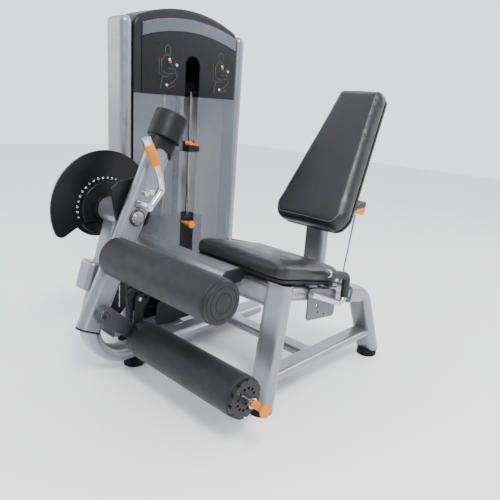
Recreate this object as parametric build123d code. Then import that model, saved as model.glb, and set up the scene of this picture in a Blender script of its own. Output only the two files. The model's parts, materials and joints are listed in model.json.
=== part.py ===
"""Seated leg machine with a weight stack: a swinging arm with two rollers, a cam and a seat.

Millimetres, +Z up. The user sits facing -Y. X = 0 is the middle of the seat and of the
rollers, and the weight tower stands on the -X side. At the end every piece is moved so that
the origin lies at the bottom centre of the whole machine.
"""

from build123d import *
import math
import os

# ---------------------------------------------------------------- tubes and feet
TUBE_WIDE = 102.0
TUBE_THICK = 51.0
WALL = 3.0
BEND_R = 95.0
FOOT_R = 43.0
FOOT_H = 32.0
STUD_R = 8.0
FOOT_ROUND = 8.0
FOOT_INSET = 40.0
FLOOR_GAP = 12.0
RUN_CLEAR = 0.05
GAP = 0.5

# ---------------------------------------------------------------- pivot and arm
PIVOT_Y = -32.0
PIVOT_Z = 641.0
ARM_TILT = 25.0
ARM_FACE_X = -280.0
ARM_WIDE = 96.0
ARM_THICK = 50.0
ARM_DOWN = 424.0
SHAFT_R = 15.0
SHAFT_NUT_WALL = 9.0
SHAFT_NUT_HIGH = 9.0
SHAFT_CAP_HIGH = 7.0

# ---------------------------------------------------------------- mast that holds the pivot
MAST_X = -405.0
MAST_FOOT_Y = 48.0
MAST_CORNER_Y = -199.0
MAST_BEND_R = 145.0
HOUSING_R = 46.0
HOUSING_LONG = 108.0
BEARING_R = 27.0
BEARING_LONG = 16.0
BASE_TUBE_REAR_Y = 760.0

# ---------------------------------------------------------------- cam
CAM_X = -490.0
CAM_R = 213.0
CAM_THICK = 8.0
CAM_HUB_R = 98.0
CAM_GROOVE_R = 105.0
CAM_GROOVE_LONG = 34.0
HOLE_CIRCLE_R = 112.0
HOLE_R = 5.0
HOLE_STEP = 10.0
HOLE_FIRST = -166.0
HOLE_COUNT = 22

# ---------------------------------------------------------------- rollers
ROLLER_R = 69.0
UPPER_Y = -118.0
UPPER_Z = 515.0
UPPER_LONG = 543.0
LOWER_Y = -22.0
LOWER_Z = 187.0
LINK_U = -355.0
LINK_V = 14.0
LINK_WIDE = 66.0
LINK_THICK = 12.0
AXLE_R = 16.0

# ---------------------------------------------------------------- side frame of the seat
SIDE_X = 171.0
FRONT_TOP_Y = 240.0
FRONT_LEAN = 52.0
SEAT_BEAM_Z = 423.0
RAIL_FRONT_Z = 444.0
RAIL_SLOPE = 12.5
REAR_KNEE_Y = 765.0
REAR_FOOT_Y = 905.0
BEAM_Z = 131.0
BEAM_WIDE = 78.0
BEAM_THICK = 34.0
CROSS_Y = 500.0
CROSS_Z = 112.0
MAIN_TUBE_Y = 129.0
MAIN_TUBE_Z = 486.0
MAIN_TUBE_END_X = 50.0

# ---------------------------------------------------------------- seat
SEAT_WIDE = 444.0
SEAT_DEEP = 372.0
SEAT_THICK = 62.0
SEAT_FRONT_Y = 176.0
SEAT_FRONT_Z = 506.0
SEAT_PAN = 10.0
SEAT_CORNER_R = 42.0
SEAT_ROUND = 18.0
BOARD_INSET = 12.0

# ---------------------------------------------------------------- back rest
BACK_TILT = 31.0
BACK_LOW_Y = 548.0
BACK_LOW_Z = 620.0
BACK_LONG = 620.0
BACK_LOW_WIDE = 352.0
BACK_TOP_WIDE = 210.0
BACK_THICK = 64.0
BACK_SHELL = 12.0
BACK_CUT = 26.0
BACK_KNEE = 62.0
BACK_CORNER_R = 30.0
BACK_LOW_CORNER_R = 52.0
SHELL_INSET = 6.0

# ---------------------------------------------------------------- tower
TOWER_FACE_X = -554.0
TOWER_BACK_X = -740.0
COLUMN_FRONT_Y = 113.0
COLUMN_REAR_Y = 714.0
COLUMN_WIDE = 122.0
COLUMN_DEEP = 51.0
COLUMN_AIR = 0.4
COLUMN_TOP_Z = 1268.0
TOWER_TOP_Z = 1402.0
HEAD_LOW_Z = 1066.0
TOWER_LOW_Z = 60.0
PANEL_THICK = 4.0
SLOT_WIDE = 78.0
SLOT_TOP_Z = 1228.0
STACK_X = -647.0
STACK_Y = 427.0
PLATE_LONG = 250.0
PLATE_DEEP = 110.0
PLATE_HIGH = 25.0
PLATE_COUNT = 15
STACK_LOW_Z = 112.0
GUIDE_R = 9.5
GUIDE_SPREAD = 150.0

# ---------------------------------------------------------------- details: frame below and beside the seat
FLOOR_TUBE_Z = FOOT_H + FLOOR_GAP + TUBE_THICK / 2
SLOPE = math.radians(RAIL_SLOPE)
TOWER_X = TOWER_FACE_X - COLUMN_WIDE / 2

# ---------------------------------------------------------------- details: cam, belt and pulleys
COVER_DOWN = 246.0
COVER_WIDE = 84.0
COVER_DEEP = 76.0
COVER_LONG = 104.0
COVER_CORNER_R = 20.0
COVER_ROUND = 12.0
CROSS_HOLE_R = 4.0
GUSSET_FROM = 4.0
GUSSET_TO = 28.0
CROSS_HOLE_X = -40.0
TIE_Y = 300.0
SEAT_BEAM_LEFT_X = -150.0
GUSSET_X = (-110.0, 20.0)
PLUG_LIP = 8.0
PLUG_DEEP = 30.0
CAM_OPEN_FROM = 210.0
CAM_OPEN_TO = 330.0
CAM_BOSS_R = 55.0
BELT_WIDE = 28.0
BELT_THICK = 3.0
PULLEY_R = 52.0
PULLEY_WIDE = 34.0
PULLEY_RIM = 5.0
PULLEY_FLANGE = 3.0
PULLEY_HOLES = 6
PULLEY_HOLE_R = 8.0
PULLEY_HOLE_CIRCLE = 0.6
BRACKET_R = 24.0
BRACKET_THICK = 6.0
BRACKET_BACK = 10.0
BRACKET_UP = 36.0
PULLEY_Z = 232.0
TOP_PULLEY_Z = 1193.0
RISE_Y = 190.0
PULLEY_PIN_R = 8.0
HUB_FLAT = 47.0
HUB_THICK = 9.0
HUB_GAP = 2.0
CAM_TIP_R = 26.0
DRUM_FLANGE = 5.0
DRUM_FLANGE_OUT = 14.0

# ---------------------------------------------------------------- details: swinging arm
ARM_X = ARM_FACE_X - ARM_THICK / 2
ARM_TOP = 290.0
NECK_LOW = 240.0
NECK_PLUS = 9.0
WEIGHT_R = 61.0
WEIGHT_LOW = 296.0
WEIGHT_HIGH = 392.0
HUB_PLATE_THICK = 10.0
HUB_PLATE_CORNERS = (
    (-104, 62),
    (-88, 92),
    (-34, 132),
    (34, 136),
    (46, 118),
    (46, -40),
    (14, -66),
    (-30, -48),
)
HUB_PLATE_BOLTS = ((-70, 68), (-40, 104), (-22, -30), (-52, 40))
NOTCH_CORNERS = ((36, -222), (60, -222), (84, -250), (114, -316), (104, -346), (36, -346))
PIN_R = 4.5
PIN_ANGLE = 64.0
PIN_GAP = 1.0
LEVER_X = -220.0
LEVER_R = 11.0
LEVER_PIVOT = (47.0, -16.0)
LEVER_GRIP_R = 17.0
LEVER_GRIP_LONG = 74.0
LEVER_GRIP_BACK = 92.0
LEVER_CAP_LONG = 22.0
LEVER_BOSS_R = 15.0
LEVER_PIN_R = 6.0
LEVER_PIN_HEAD_R = 10.0
LEVER_STOP_R = 10.0
LEVER_STOP_LONG = 12.0
LEVER_ROUTE = ((14, 2), (58, 54), (47, 104), (-10, 226))
LEVER_STOPS = ((92.0, -4.0), (104.0, 14.0))
UPPER_START = 2.0
LINK_PIN_R = 10.0
LINK_PIN_HEAD_R = 17.0
LINK_PIN_HEAD = 6.0
END_PLUG_LIP = 7.0
END_PLUG_DEEP = 30.0
WEIGHT_ROUND = 5.0
SCOOP_R = 50.0
SCOOP_BELOW = 30.0
BARREL_LONG = 32.0
BARREL_WALL = 6.0
BOLT_HEAD_R = 8.0
BOLT_HEAD = 6.0

# ---------------------------------------------------------------- details: rollers
UPPER_END_X = ARM_FACE_X + UPPER_START + UPPER_LONG
CORE_R = 30.0
CAP_THICK = 14.0
LOWER_END_X = 288.0
LOWER_FLANGE_R = 50.0
LOWER_FLANGE_THICK = 7.0
COLLAR_LONG = 26.0
COLLAR_STEP = 5.0
HUB_LONG = 12.0
HUB_STEP = 3.0
HUB_TEETH = 12
TOOTH_GAP_R = 6.0
HUB_HOLE_R = 5.0
HUB_HOLE_CIRCLE = 0.52
STEM_R = 6.0
STEM_IN = 200.0
SLEEVE_R = 17.0
SLEEVE_LONG = 22.0
AXLE_PROUD = 8.0
KNOB_FROM = 32.0
KNOB_WAIST = 62.0
KNOB_RIM_FROM = 76.0
KNOB_TO = 86.0
KNOB_NECK_R = 12.0
KNOB_WAIST_R = 11.0
KNOB_RIM_R = 21.0
KNOB_SOLID = 12.0

# ---------------------------------------------------------------- details: seat
PLATE_X = SIDE_X + TUBE_WIDE / 2 + 3
SIDE_PLATE_THICK = 5.0
GRIP_X = 252.0
GRIP_TUBE_R = 11.0
GRIP_R = 15.0
GRIP_ROUTE = ((404, 498), (524, 466), (524, 352), (312, 440))
GRIP_BENDS = (24.0, 30.0)
GRIP_END_ABOVE = 34.0
GRIP_CAP = 8.0
BAR_THICK = 6.0
BAR_WIDE = 50.0
BAR_AT = (190.0, 318.0)
PLATE_FRONT_Y = 330.0
PLATE_WIDE = 170.0
PLATE_LOW_Z = 308.0
PLATE_TOP_Z = 450.0
PLATE_CORNER_R = 14.0
PLATE_RISE = 22.0
PLATE_DROP = 36.0
SIDE_PLATE_HOLES = ((56, 66, 7), (62, 40, 4), (100, 70, 4), (104, 24, 4))

# ---------------------------------------------------------------- details: back rest
POST_Y = 664.0
POST_LOW_Z = 372.0
POST_UP = 210.0
CARRIAGE_LONG = 88.0
CARRIAGE_HALF_X = 56.0
CARRIAGE_HALF_Z = 33.0
CARRIAGE_ROUND = 16.0
SHELF_THICK = 18.0
SHELF_INSET = 8.0
SLIDE_GAP = 0.1
PADDLE_X = 132.0
PADDLE_UP = 128.0
PADDLE_OUT = 18.0
PADDLE_WIDE = 44.0
PADDLE_LONG = 62.0
PADDLE_PIN_R = 5.0
ROD_AT = 34.0
ROD_BELOW = 27.0
ROD_R = 4.0

# ---------------------------------------------------------------- details: tower
BODY_FRONT_Y = COLUMN_FRONT_Y + COLUMN_DEEP / 2
BODY_REAR_Y = COLUMN_REAR_Y - COLUMN_DEEP / 2
COLUMN_LOW_Z = FLOOR_TUBE_Z + TUBE_THICK / 2
CAP_TOP_Z = 1340.0
HEAD_ARCH = 62.0
HEAD_CORNER_R = 50.0
HEAD_SHOULDER_R = 52.0
SHELL = 4.0
BAND_LOW_Z = 1275.0
BAND_RISE = 42.0
BAND_BELOW_ARCH = 16.0
BAND_THICK = 5.0
PICTURE_THICK = 3.0
PLACARD_EDGE = 34.0
SHROUD_R = 60.0
SHROUD_FRONT_X = TOWER_X - 20
HEAD_BEAM_Z = 1088.0
HANGER_OUT = 26.0
HANGER_THICK = 6.0
RAIL_THICK = 8.0
HEAD_RAIL_HIGH = 40.0
CAP_ROUND = 22.0
TOWER_FLOOR_THICK = 6.0
TOWER_FLOOR_HALF = 66.0
HOOD_ROUND = 12.0
HEAD_BEAM_X = (STACK_X - 80, STACK_X + 80)

# ---------------------------------------------------------------- details: weight stack
TOP_PLATE_HIGH = 34.0
PLATE_GAP = 0.5
STEM_TOP_Z = 868.0
SELECTOR_R = 5.0
STEM_WIDE = 26.0
STEM_THICK = 12.0
ADDON_Z = 860.0
STEM_HOLES = 14
STEM_HOLE_STEP = 17.0
STEM_HOLE_R = 4.0
STEM_AIR = 1.0
PLATE_ROUND = 6.0
BUMPER_R = 24.0
CLAMP_HALF = (16.0, 24.0, 40.0)
COLLAR_R = 10.0
HEAD_R = 17.0
COVER_FRONT_Y = 196.0
BELT_COVER_LONG = 210.0
BELT_COVER_TOP_Z = 215.0
BELT_COVER_ROUND = 26.0

parts = {}


# ================================================================ small helpers
def block(x, y, z):
    """A box from its three (low, high) pairs."""
    middle = [(low + high) / 2 for low, high in (x, y, z)]
    return Pos(*middle) * Box(x[1] - x[0], y[1] - y[0], z[1] - z[0])


def rod_x(x0, x1, y, z, radius):
    return Pos((x0 + x1) / 2, y, z) * Rot(0, 90, 0) * Cylinder(radius, abs(x1 - x0))


def rod_y(x, y0, y1, z, radius):
    return Pos(x, (y0 + y1) / 2, z) * Rot(90, 0, 0) * Cylinder(radius, abs(y1 - y0))


def rod_z(x, y, z0, z1, radius):
    return Pos(x, y, (z0 + z1) / 2) * Cylinder(radius, abs(z1 - z0))


def ring_x(x0, x1, y, z, outer, inner):
    return rod_x(x0, x1, y, z, outer) - rod_x(x0 - 1, x1 + 1, y, z, inner)


def oval(wide, thick):
    return SlotOverall(wide, thick)


def bar(start, end, wide_dir, wide, thick):
    """A solid flat-oval bar from start to end, its wide side along wide_dir."""
    start, end = Vector(*start), Vector(*end)
    plane = Plane(origin=start, x_dir=Vector(*wide_dir), z_dir=end - start)
    return extrude(plane * oval(wide, thick), (end - start).length)


def tube(start, end, wide_dir, wide=TUBE_WIDE, thick=TUBE_THICK, wall=WALL):
    """A hollow flat-oval tube."""
    outer = bar(start, end, wide_dir, wide, thick)
    inner = bar(start, end, wide_dir, wide - 2 * wall, thick - 2 * wall)
    return outer - inner


def side_path(points, radii, x):
    """A path in the plane X = x through (y, z) points, with an arc at each corner."""
    return FilletPolyline(*[(x, y, z) for y, z in points], radius=radii)


def bent(path, wide, thick, offset=0.0):
    """Sweeps a flat oval, wide along X, along a path in a YZ plane."""
    start = path @ 0
    plane = Plane(origin=start, x_dir=(1, 0, 0), z_dir=path % 0)
    return sweep(plane * oval(wide - 2 * offset, thick - 2 * offset), path=path)


def yz_plate(outline, x0, thick):
    """Extrudes a sketch drawn in (Y, Z) from X = x0 towards +X."""
    plane = Plane(origin=(x0, 0, 0), x_dir=(0, 1, 0), z_dir=(1, 0, 0))
    return extrude(plane * outline, thick, dir=(1, 0, 0))


def arm_point(u, v):
    """(Y, Z) of a point u along the arm, upwards, and v behind its axis."""
    tilt = math.radians(ARM_TILT)
    y = PIVOT_Y + u * math.sin(tilt) + v * math.cos(tilt)
    z = PIVOT_Z + u * math.cos(tilt) - v * math.sin(tilt)
    return y, z


def on_arm(u, v, x):
    """A frame on the arm: local X along +X, local Y to the rear, local Z up the arm."""
    y, z = arm_point(u, v)
    tilt = math.radians(ARM_TILT)
    return Plane(origin=(x, y, z), x_dir=(1, 0, 0), z_dir=(0, math.sin(tilt), math.cos(tilt)))


def joined(pieces):
    """Several touching or overlapping solids as one."""
    whole = pieces[0]
    for piece in pieces[1:]:
        whole = whole + piece
    return whole


def group(pieces):
    """Separate solids kept apart in one node."""
    return Compound(children=[solid for piece in pieces for solid in piece.solids()])


# ================================================================ frame below and beside the seat
def rail_z(y):
    """Height of the sloped seat rail's centre line."""
    return RAIL_FRONT_Z - (y - FRONT_TOP_Y) * math.tan(SLOPE)


def front_leg_y(z):
    """Centre of the front leg at a height: it leans forward towards the floor."""
    top = SEAT_BEAM_Z + TUBE_WIDE / 2
    return FRONT_TOP_Y - FRONT_LEAN * (top - z) / (top - FOOT_H)


def feet():
    """Rubber discs and the studs that hold them, under every corner of the base."""
    places = [
        (SIDE_X, front_leg_y(FOOT_H), FOOT_H),
        (SIDE_X, REAR_FOOT_Y, FOOT_H),
        (MAST_X, MAST_FOOT_Y, FOOT_H + FLOOR_GAP),
        (TOWER_X, COLUMN_FRONT_Y + FOOT_INSET, FOOT_H + FLOOR_GAP),
        (TOWER_X, COLUMN_REAR_Y - FOOT_INSET, FOOT_H + FLOOR_GAP),
    ]
    discs, studs = [], []
    for x, y, top in places:
        disc = rod_z(x, y, 0, FOOT_H, FOOT_R)
        disc = fillet(disc.edges().filter_by(GeomType.CIRCLE).sort_by(Axis.Z)[-1], FOOT_ROUND)
        disc = disc - rod_z(x, y, FOOT_H / 2, FOOT_H + 1, STUD_R)
        discs.append(disc)
        studs.append(rod_z(x, y, FOOT_H / 2, max(top, FOOT_H + 1), STUD_R))
    parts["rubber_feet"] = group(discs)
    parts["foot_studs"] = group(studs)


def mast():
    """One bent tube: a floor run, a wide bend and the upright that carries the pivot."""
    points = [(BASE_TUBE_REAR_Y, FLOOR_TUBE_Z), (MAST_CORNER_Y, FLOOR_TUBE_Z), (PIVOT_Y, PIVOT_Z)]
    path = side_path(points, [MAST_BEND_R], MAST_X)
    solid = bent(path, TUBE_WIDE, TUBE_THICK)
    hollow = bent(path, TUBE_WIDE, TUBE_THICK, WALL)
    half = HOUSING_LONG / 2
    barrel = rod_x(MAST_X - half, MAST_X + half, PIVOT_Y, PIVOT_Z, HOUSING_R)
    parts["mast_tube"] = solid - hollow - barrel - rod_z(
        MAST_X, MAST_FOOT_Y, FOOT_H, FOOT_H + FLOOR_GAP + WALL + 1, STUD_R
    )
    parts["pivot_housing"] = barrel - rod_x(
        MAST_X - half - 1, MAST_X + half + 1, PIVOT_Y, PIVOT_Z, BEARING_R
    )
    bearings = []
    for side in (-1, 1):
        outer = MAST_X + side * half
        inner = outer - side * BEARING_LONG
        low, high = sorted((inner, outer))
        bearings.append(ring_x(low, high, PIVOT_Y, PIVOT_Z, BEARING_R, SHAFT_R + RUN_CLEAR))
    parts["pivot_bearings"] = group(bearings)


def mast_point(distance):
    """(Y, Z) on the upright's centre line, this far below the pivot."""
    run, rise = PIVOT_Y - MAST_CORNER_Y, PIVOT_Z - FLOOR_TUBE_Z
    whole = math.hypot(run, rise)
    return PIVOT_Y - run * distance / whole, PIVOT_Z - rise * distance / whole


def mast_cover():
    """The rounded cover bolted on the front of the upright, and the belt pulley's bracket."""
    y, z = mast_point(COVER_DOWN)
    lean = math.atan2(PIVOT_Y - MAST_CORNER_Y, PIVOT_Z - FLOOR_TUBE_Z)
    up = (0, math.sin(lean), math.cos(lean))
    face = Plane(origin=(MAST_X, y, z), x_dir=(1, 0, 0), z_dir=up)
    section = RectangleRounded(COVER_WIDE, 2 * COVER_DEEP, COVER_CORNER_R)
    shape = extrude(face * section, COVER_LONG / 2, both=True)
    shape = fillet(shape.faces().sort_by(Axis.Z)[-1].edges(), COVER_ROUND)
    front = Plane(origin=(MAST_X, y, z), x_dir=(1, 0, 0), z_dir=(0, -math.cos(lean), math.sin(lean)))
    keep = extrude(front.offset(TUBE_THICK / 2) * Rectangle(4 * COVER_WIDE, 4 * COVER_LONG), 4 * COVER_DEEP)
    parts["mast_cover"] = shape & keep


def floor_beams():
    """The wide flat beams near the floor."""
    y_front = front_leg_y(BEAM_Z)
    y_rear = rear_leg_y(BEAM_Z)
    ends = (SIDE_X, y_front, BEAM_Z), (SIDE_X, y_rear, BEAM_Z)
    beam = tube(*ends, (1, 0, 0), BEAM_WIDE, BEAM_THICK)
    parts["outer_floor_beam"] = beam - front_leg_solid() - rear_solid()
    inner_x = SIDE_X - BEAM_WIDE / 2 + BEAM_THICK / 2
    cross = tube((MAST_X, CROSS_Y, CROSS_Z), (inner_x, CROSS_Y, CROSS_Z), (0, 1, 0), BEAM_WIDE, BEAM_THICK)
    outer_beam = bar(*ends, (1, 0, 0), BEAM_WIDE, BEAM_THICK)
    mast_run = bar(
        (MAST_X, MAST_FOOT_Y, FLOOR_TUBE_Z),
        (MAST_X, BASE_TUBE_REAR_Y, FLOOR_TUBE_Z),
        (1, 0, 0),
        TUBE_WIDE,
        TUBE_THICK,
    )
    hole = rod_z(CROSS_HOLE_X, CROSS_Y, CROSS_Z - TUBE_THICK, CROSS_Z + TUBE_THICK, CROSS_HOLE_R)
    cut = cross - outer_beam - mast_run - hole
    parts["floor_cross_beam"] = cut.solids().sort_by(SortBy.VOLUME)[-1]
    tie = tube((TOWER_X, TIE_Y, FLOOR_TUBE_Z), (MAST_X, TIE_Y, FLOOR_TUBE_Z), (0, 1, 0))
    tie_cut = tie - mast_run - tower_base_solid()
    parts["base_tie"] = tie_cut.solids().sort_by(SortBy.VOLUME)[-1]


def front_leg_solid(offset=0.0):
    """The leaning front leg: as a solid bar, or its hollow."""
    top = SEAT_BEAM_Z + TUBE_WIDE / 2
    return bar(
        (SIDE_X, FRONT_TOP_Y, top),
        (SIDE_X, front_leg_y(FOOT_H), FOOT_H),
        (1, 0, 0),
        TUBE_WIDE - 2 * offset,
        TUBE_THICK - 2 * offset,
    )


def rear_path():
    """From the front of the sloped rail back to the bend and down to the rear foot."""
    points = [
        (FRONT_TOP_Y, rail_z(FRONT_TOP_Y)),
        (REAR_KNEE_Y, rail_z(REAR_KNEE_Y)),
        (REAR_FOOT_Y, FOOT_H),
    ]
    return side_path(points, [BEND_R], SIDE_X)


def rear_solid(offset=0.0):
    return bent(rear_path(), TUBE_WIDE, TUBE_THICK, offset)


def rear_leg_y(z):
    """Centre of the rear leg at a height."""
    knee_z = rail_z(REAR_KNEE_Y)
    return REAR_KNEE_Y + (REAR_FOOT_Y - REAR_KNEE_Y) * (knee_z - z) / (knee_z - FOOT_H)


def above_floor(shape, height):
    """Cuts a shape off level at a height."""
    return shape & block((-900, 500), (-500, 1200), (height, 1500))


def side_frame():
    """Front leg, seat beam and the rail that bends down into the rear leg."""
    leg = front_leg_solid() - front_leg_solid(WALL)
    stud = rod_z(SIDE_X, front_leg_y(FOOT_H), 0, FOOT_H + 1, STUD_R)
    parts["front_leg"] = above_floor(leg, FOOT_H) - stud
    rail = rear_solid() - rear_solid(WALL) - front_leg_solid() - seat_beam_solid()
    rail = above_floor(rail, FOOT_H)
    parts["seat_rail"] = rail.solids().sort_by(SortBy.VOLUME)[-1]
    beam = seat_beam_solid() - seat_beam_solid(WALL) - front_leg_solid()
    parts["seat_beam"] = beam.solids().sort_by(SortBy.VOLUME)[-1]


def seat_beam_solid(offset=0.0):
    return bar(
        (SEAT_BEAM_LEFT_X, FRONT_TOP_Y, SEAT_BEAM_Z),
        (SIDE_X, FRONT_TOP_Y, SEAT_BEAM_Z),
        (0, 0, 1),
        TUBE_WIDE - 2 * offset,
        TUBE_THICK - 2 * offset,
    )


def main_tube():
    """The tube under the front of the seat that ties it to the tower, and its end plug."""
    start = (TOWER_FACE_X, MAIN_TUBE_Y, MAIN_TUBE_Z)
    end = (MAIN_TUBE_END_X, MAIN_TUBE_Y, MAIN_TUBE_Z)
    parts["main_cross_tube"] = tube(start, end, (0, 1, 0))
    gusset = block(GUSSET_X, (MAIN_TUBE_Y, FRONT_TOP_Y), (SEAT_BEAM_Z + GUSSET_FROM, SEAT_BEAM_Z + GUSSET_TO))
    whole_tube = bar(start, end, (0, 1, 0), TUBE_WIDE, TUBE_THICK)
    parts["tube_gusset"] = gusset - whole_tube - seat_beam_solid()
    lip_x = MAIN_TUBE_END_X + PLUG_LIP
    lip = bar(end, (lip_x, MAIN_TUBE_Y, MAIN_TUBE_Z), (0, 1, 0), TUBE_WIDE, TUBE_THICK)
    lip = fillet(lip.faces().sort_by(Axis.X)[-1].edges(), 3)
    inner = 2 * WALL
    neck = bar(
        (MAIN_TUBE_END_X - PLUG_DEEP, MAIN_TUBE_Y, MAIN_TUBE_Z),
        end,
        (0, 1, 0),
        TUBE_WIDE - inner,
        TUBE_THICK - inner,
    )
    parts["tube_end_plug"] = lip + neck


# ================================================================ cam, belt and pulleys
def polar(radius, degrees):
    return radius * math.cos(math.radians(degrees)), radius * math.sin(math.radians(degrees))


def cam():
    """A part disc with a hook-shaped opening below, a row of holes, a hub and a belt drum."""
    reach = 3 * CAM_R
    outline = Circle(CAM_R)
    first, last = polar(reach, CAM_OPEN_FROM), polar(reach, CAM_OPEN_TO)
    wedge = Polygon((0, 0), first, (0, -reach), last, align=None)
    outline = outline - wedge
    hub = Circle(CAM_HUB_R) - Pos(0, -CAM_HUB_R - HUB_FLAT) * Rectangle(3 * CAM_HUB_R, 2 * CAM_HUB_R)
    outline = outline + hub
    tips = [v for v in outline.vertices() if v.distance_to((0, 0, 0)) > CAM_R - 1]
    outline = fillet(tips, CAM_TIP_R)
    for n in range(HOLE_COUNT):
        y, z = polar(HOLE_CIRCLE_R, HOLE_FIRST - n * HOLE_STEP)
        outline = outline - Pos(y, z) * Circle(HOLE_R)
    bore = Circle(SHAFT_R + RUN_CLEAR)
    at = Pos(0, PIVOT_Y, PIVOT_Z)
    face = CAM_X + CAM_THICK / 2
    plate = at * yz_plate(outline - bore, CAM_X - CAM_THICK / 2, CAM_THICK)
    plate = fillet(plate.faces().sort_by(Axis.X)[-1].outer_wire().edges(), 2)
    parts["cam_disc"] = plate
    raised = at * yz_plate(hub - bore, face, HUB_THICK)
    raised = fillet(raised.faces().sort_by(Axis.X)[-1].outer_wire().edges(), 3)
    housing_end = MAST_X - HOUSING_LONG / 2
    boss_from = face + HUB_THICK
    boss_to = housing_end - HUB_GAP
    parts["cam_hub"] = raised + ring_x(
        boss_from, boss_to, PIVOT_Y, PIVOT_Z, CAM_BOSS_R, SHAFT_R + RUN_CLEAR
    )
    back = CAM_X - CAM_THICK / 2
    drum = ring_x(back - CAM_GROOVE_LONG, back, PIVOT_Y, PIVOT_Z, CAM_GROOVE_R, SHAFT_R + RUN_CLEAR)
    flange_to = back - CAM_GROOVE_LONG
    flange_r = CAM_GROOVE_R + DRUM_FLANGE_OUT
    flange = ring_x(
        flange_to - DRUM_FLANGE, flange_to, PIVOT_Y, PIVOT_Z, flange_r, SHAFT_R + RUN_CLEAR
    )
    parts["belt_drum"] = drum + flange


def pulley(x, y, z):
    """A grooved pulley about an axis along X, with its bore."""
    half = PULLEY_WIDE / 2
    wheel = rod_x(x - half, x + half, y, z, PULLEY_R + PULLEY_RIM)
    groove = ring_x(
        x - half + PULLEY_FLANGE, x + half - PULLEY_FLANGE, y, z, PULLEY_R + PULLEY_RIM + 1, PULLEY_R
    )
    wheel = wheel - groove - rod_x(x - half - 1, x + half + 1, y, z, PULLEY_PIN_R + RUN_CLEAR)
    for n in range(PULLEY_HOLES):
        dy, dz = polar(PULLEY_R * PULLEY_HOLE_CIRCLE, 360 / PULLEY_HOLES * n)
        wheel = wheel - rod_x(x - half - 1, x + half + 1, y + dy, z + dz, PULLEY_HOLE_R)
    return wheel


def belt_side_x():
    """Middle of the belt drum, and of the pulley below it."""
    return CAM_X - CAM_THICK / 2 - CAM_GROOVE_LONG / 2


def belt_line_y():
    """Middle of the belt where it leaves the drum on the rear side."""
    return PIVOT_Y + CAM_GROOVE_R + BELT_THICK / 2 + GAP


def pulleys():
    """The turning pulley low beside the mast, and the pair in the tower's head."""
    x = belt_side_x()
    y = belt_line_y() + PULLEY_R + BELT_THICK / 2 + GAP
    parts["turning_pulley"] = pulley(x, y, PULLEY_Z)
    pin_from = x - PULLEY_WIDE / 2 - 14
    pin = rod_x(pin_from, x + PULLEY_WIDE / 2 + 10, y, PULLEY_Z, PULLEY_PIN_R)
    plate_x = x + PULLEY_WIDE / 2 + 2
    outline = make_hull([
        *(Pos(y, PULLEY_Z) * Circle(BRACKET_R)).edges(),
        *(Pos(y - BRACKET_BACK, FLOOR_TUBE_Z + BRACKET_UP) * Circle(BRACKET_R)).edges(),
    ])
    plate = yz_plate(outline, plate_x, BRACKET_THICK) - pin
    parts["pulley_bracket"] = plate
    parts["turning_pulley_pin"] = pin
    wheels = [
        pulley(STACK_X, RISE_Y + PULLEY_R + BELT_THICK / 2 + GAP, TOP_PULLEY_Z),
        pulley(STACK_X, STACK_Y - PULLEY_R - BELT_THICK / 2 - GAP, TOP_PULLEY_Z),
    ]
    parts["top_pulley_front"] = wheels[0]
    parts["top_pulley_rear"] = wheels[1]


# ================================================================ swinging arm
def arm_bar(low, high, wide, thick):
    """A flat-oval bar along the arm between two distances from the pivot."""
    y0, z0 = arm_point(low, 0)
    y1, z1 = arm_point(high, 0)
    tilt = math.radians(ARM_TILT)
    rear = (0, math.cos(tilt), -math.sin(tilt))
    return bar((ARM_X, y0, z0), (ARM_X, y1, z1), rear, wide, thick)


def arm_plate(outline, x0, thick):
    """A plate lying along the arm, drawn as (v, u): v to the rear and u up the arm."""
    tilt = math.radians(ARM_TILT)
    rear = (0, math.cos(tilt), -math.sin(tilt))
    plane = Plane(origin=(x0, PIVOT_Y, PIVOT_Z), x_dir=rear, z_dir=(1, 0, 0))
    return extrude(plane * outline, thick, dir=(1, 0, 0))


def swing_arm():
    """The arm's tube, its shaft, the plug at the bottom and the weight at the top."""
    inner = 2 * WALL
    arm = arm_bar(-ARM_DOWN, ARM_TOP, ARM_WIDE, ARM_THICK)
    arm = arm - arm_bar(-ARM_DOWN - 1, ARM_TOP + 1, ARM_WIDE - inner, ARM_THICK - inner)
    shaft_from = CAM_X - CAM_THICK / 2 - CAM_GROOVE_LONG - DRUM_FLANGE - 6
    shaft = rod_x(shaft_from, ARM_FACE_X + 3, PIVOT_Y, PIVOT_Z, SHAFT_R)
    link_y, link_z = arm_point(LINK_U, LINK_V)
    upper_axle = rod_x(ARM_X - 20, UPPER_END_X - 22, UPPER_Y, UPPER_Z, AXLE_R)
    link_pin = rod_x(ARM_X, ARM_FACE_X + LINK_THICK + 3, link_y, link_z, LINK_PIN_R)
    parts["swing_arm"] = arm - shaft - upper_axle - link_pin
    parts["pivot_shaft"] = shaft
    nut_end = ARM_FACE_X + SHAFT_NUT_HIGH
    nut = ring_x(ARM_FACE_X, nut_end, PIVOT_Y, PIVOT_Z, SHAFT_R + SHAFT_NUT_WALL, SHAFT_R)
    cap = rod_x(nut_end, nut_end + SHAFT_CAP_HIGH, PIVOT_Y, PIVOT_Z, SHAFT_R + 1)
    parts["pivot_nut"] = nut + cap - shaft
    parts["upper_axle"] = upper_axle
    head_from = ARM_FACE_X + LINK_THICK + 2
    head = rod_x(head_from, head_from + LINK_PIN_HEAD, link_y, link_z, LINK_PIN_HEAD_R)
    parts["link_pin"] = link_pin + head
    lip = arm_bar(-ARM_DOWN - END_PLUG_LIP, -ARM_DOWN, ARM_WIDE, ARM_THICK)
    neck = arm_bar(-ARM_DOWN, -ARM_DOWN + END_PLUG_DEEP, ARM_WIDE - inner, ARM_THICK - inner)
    parts["arm_end_plug"] = lip + neck


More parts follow.
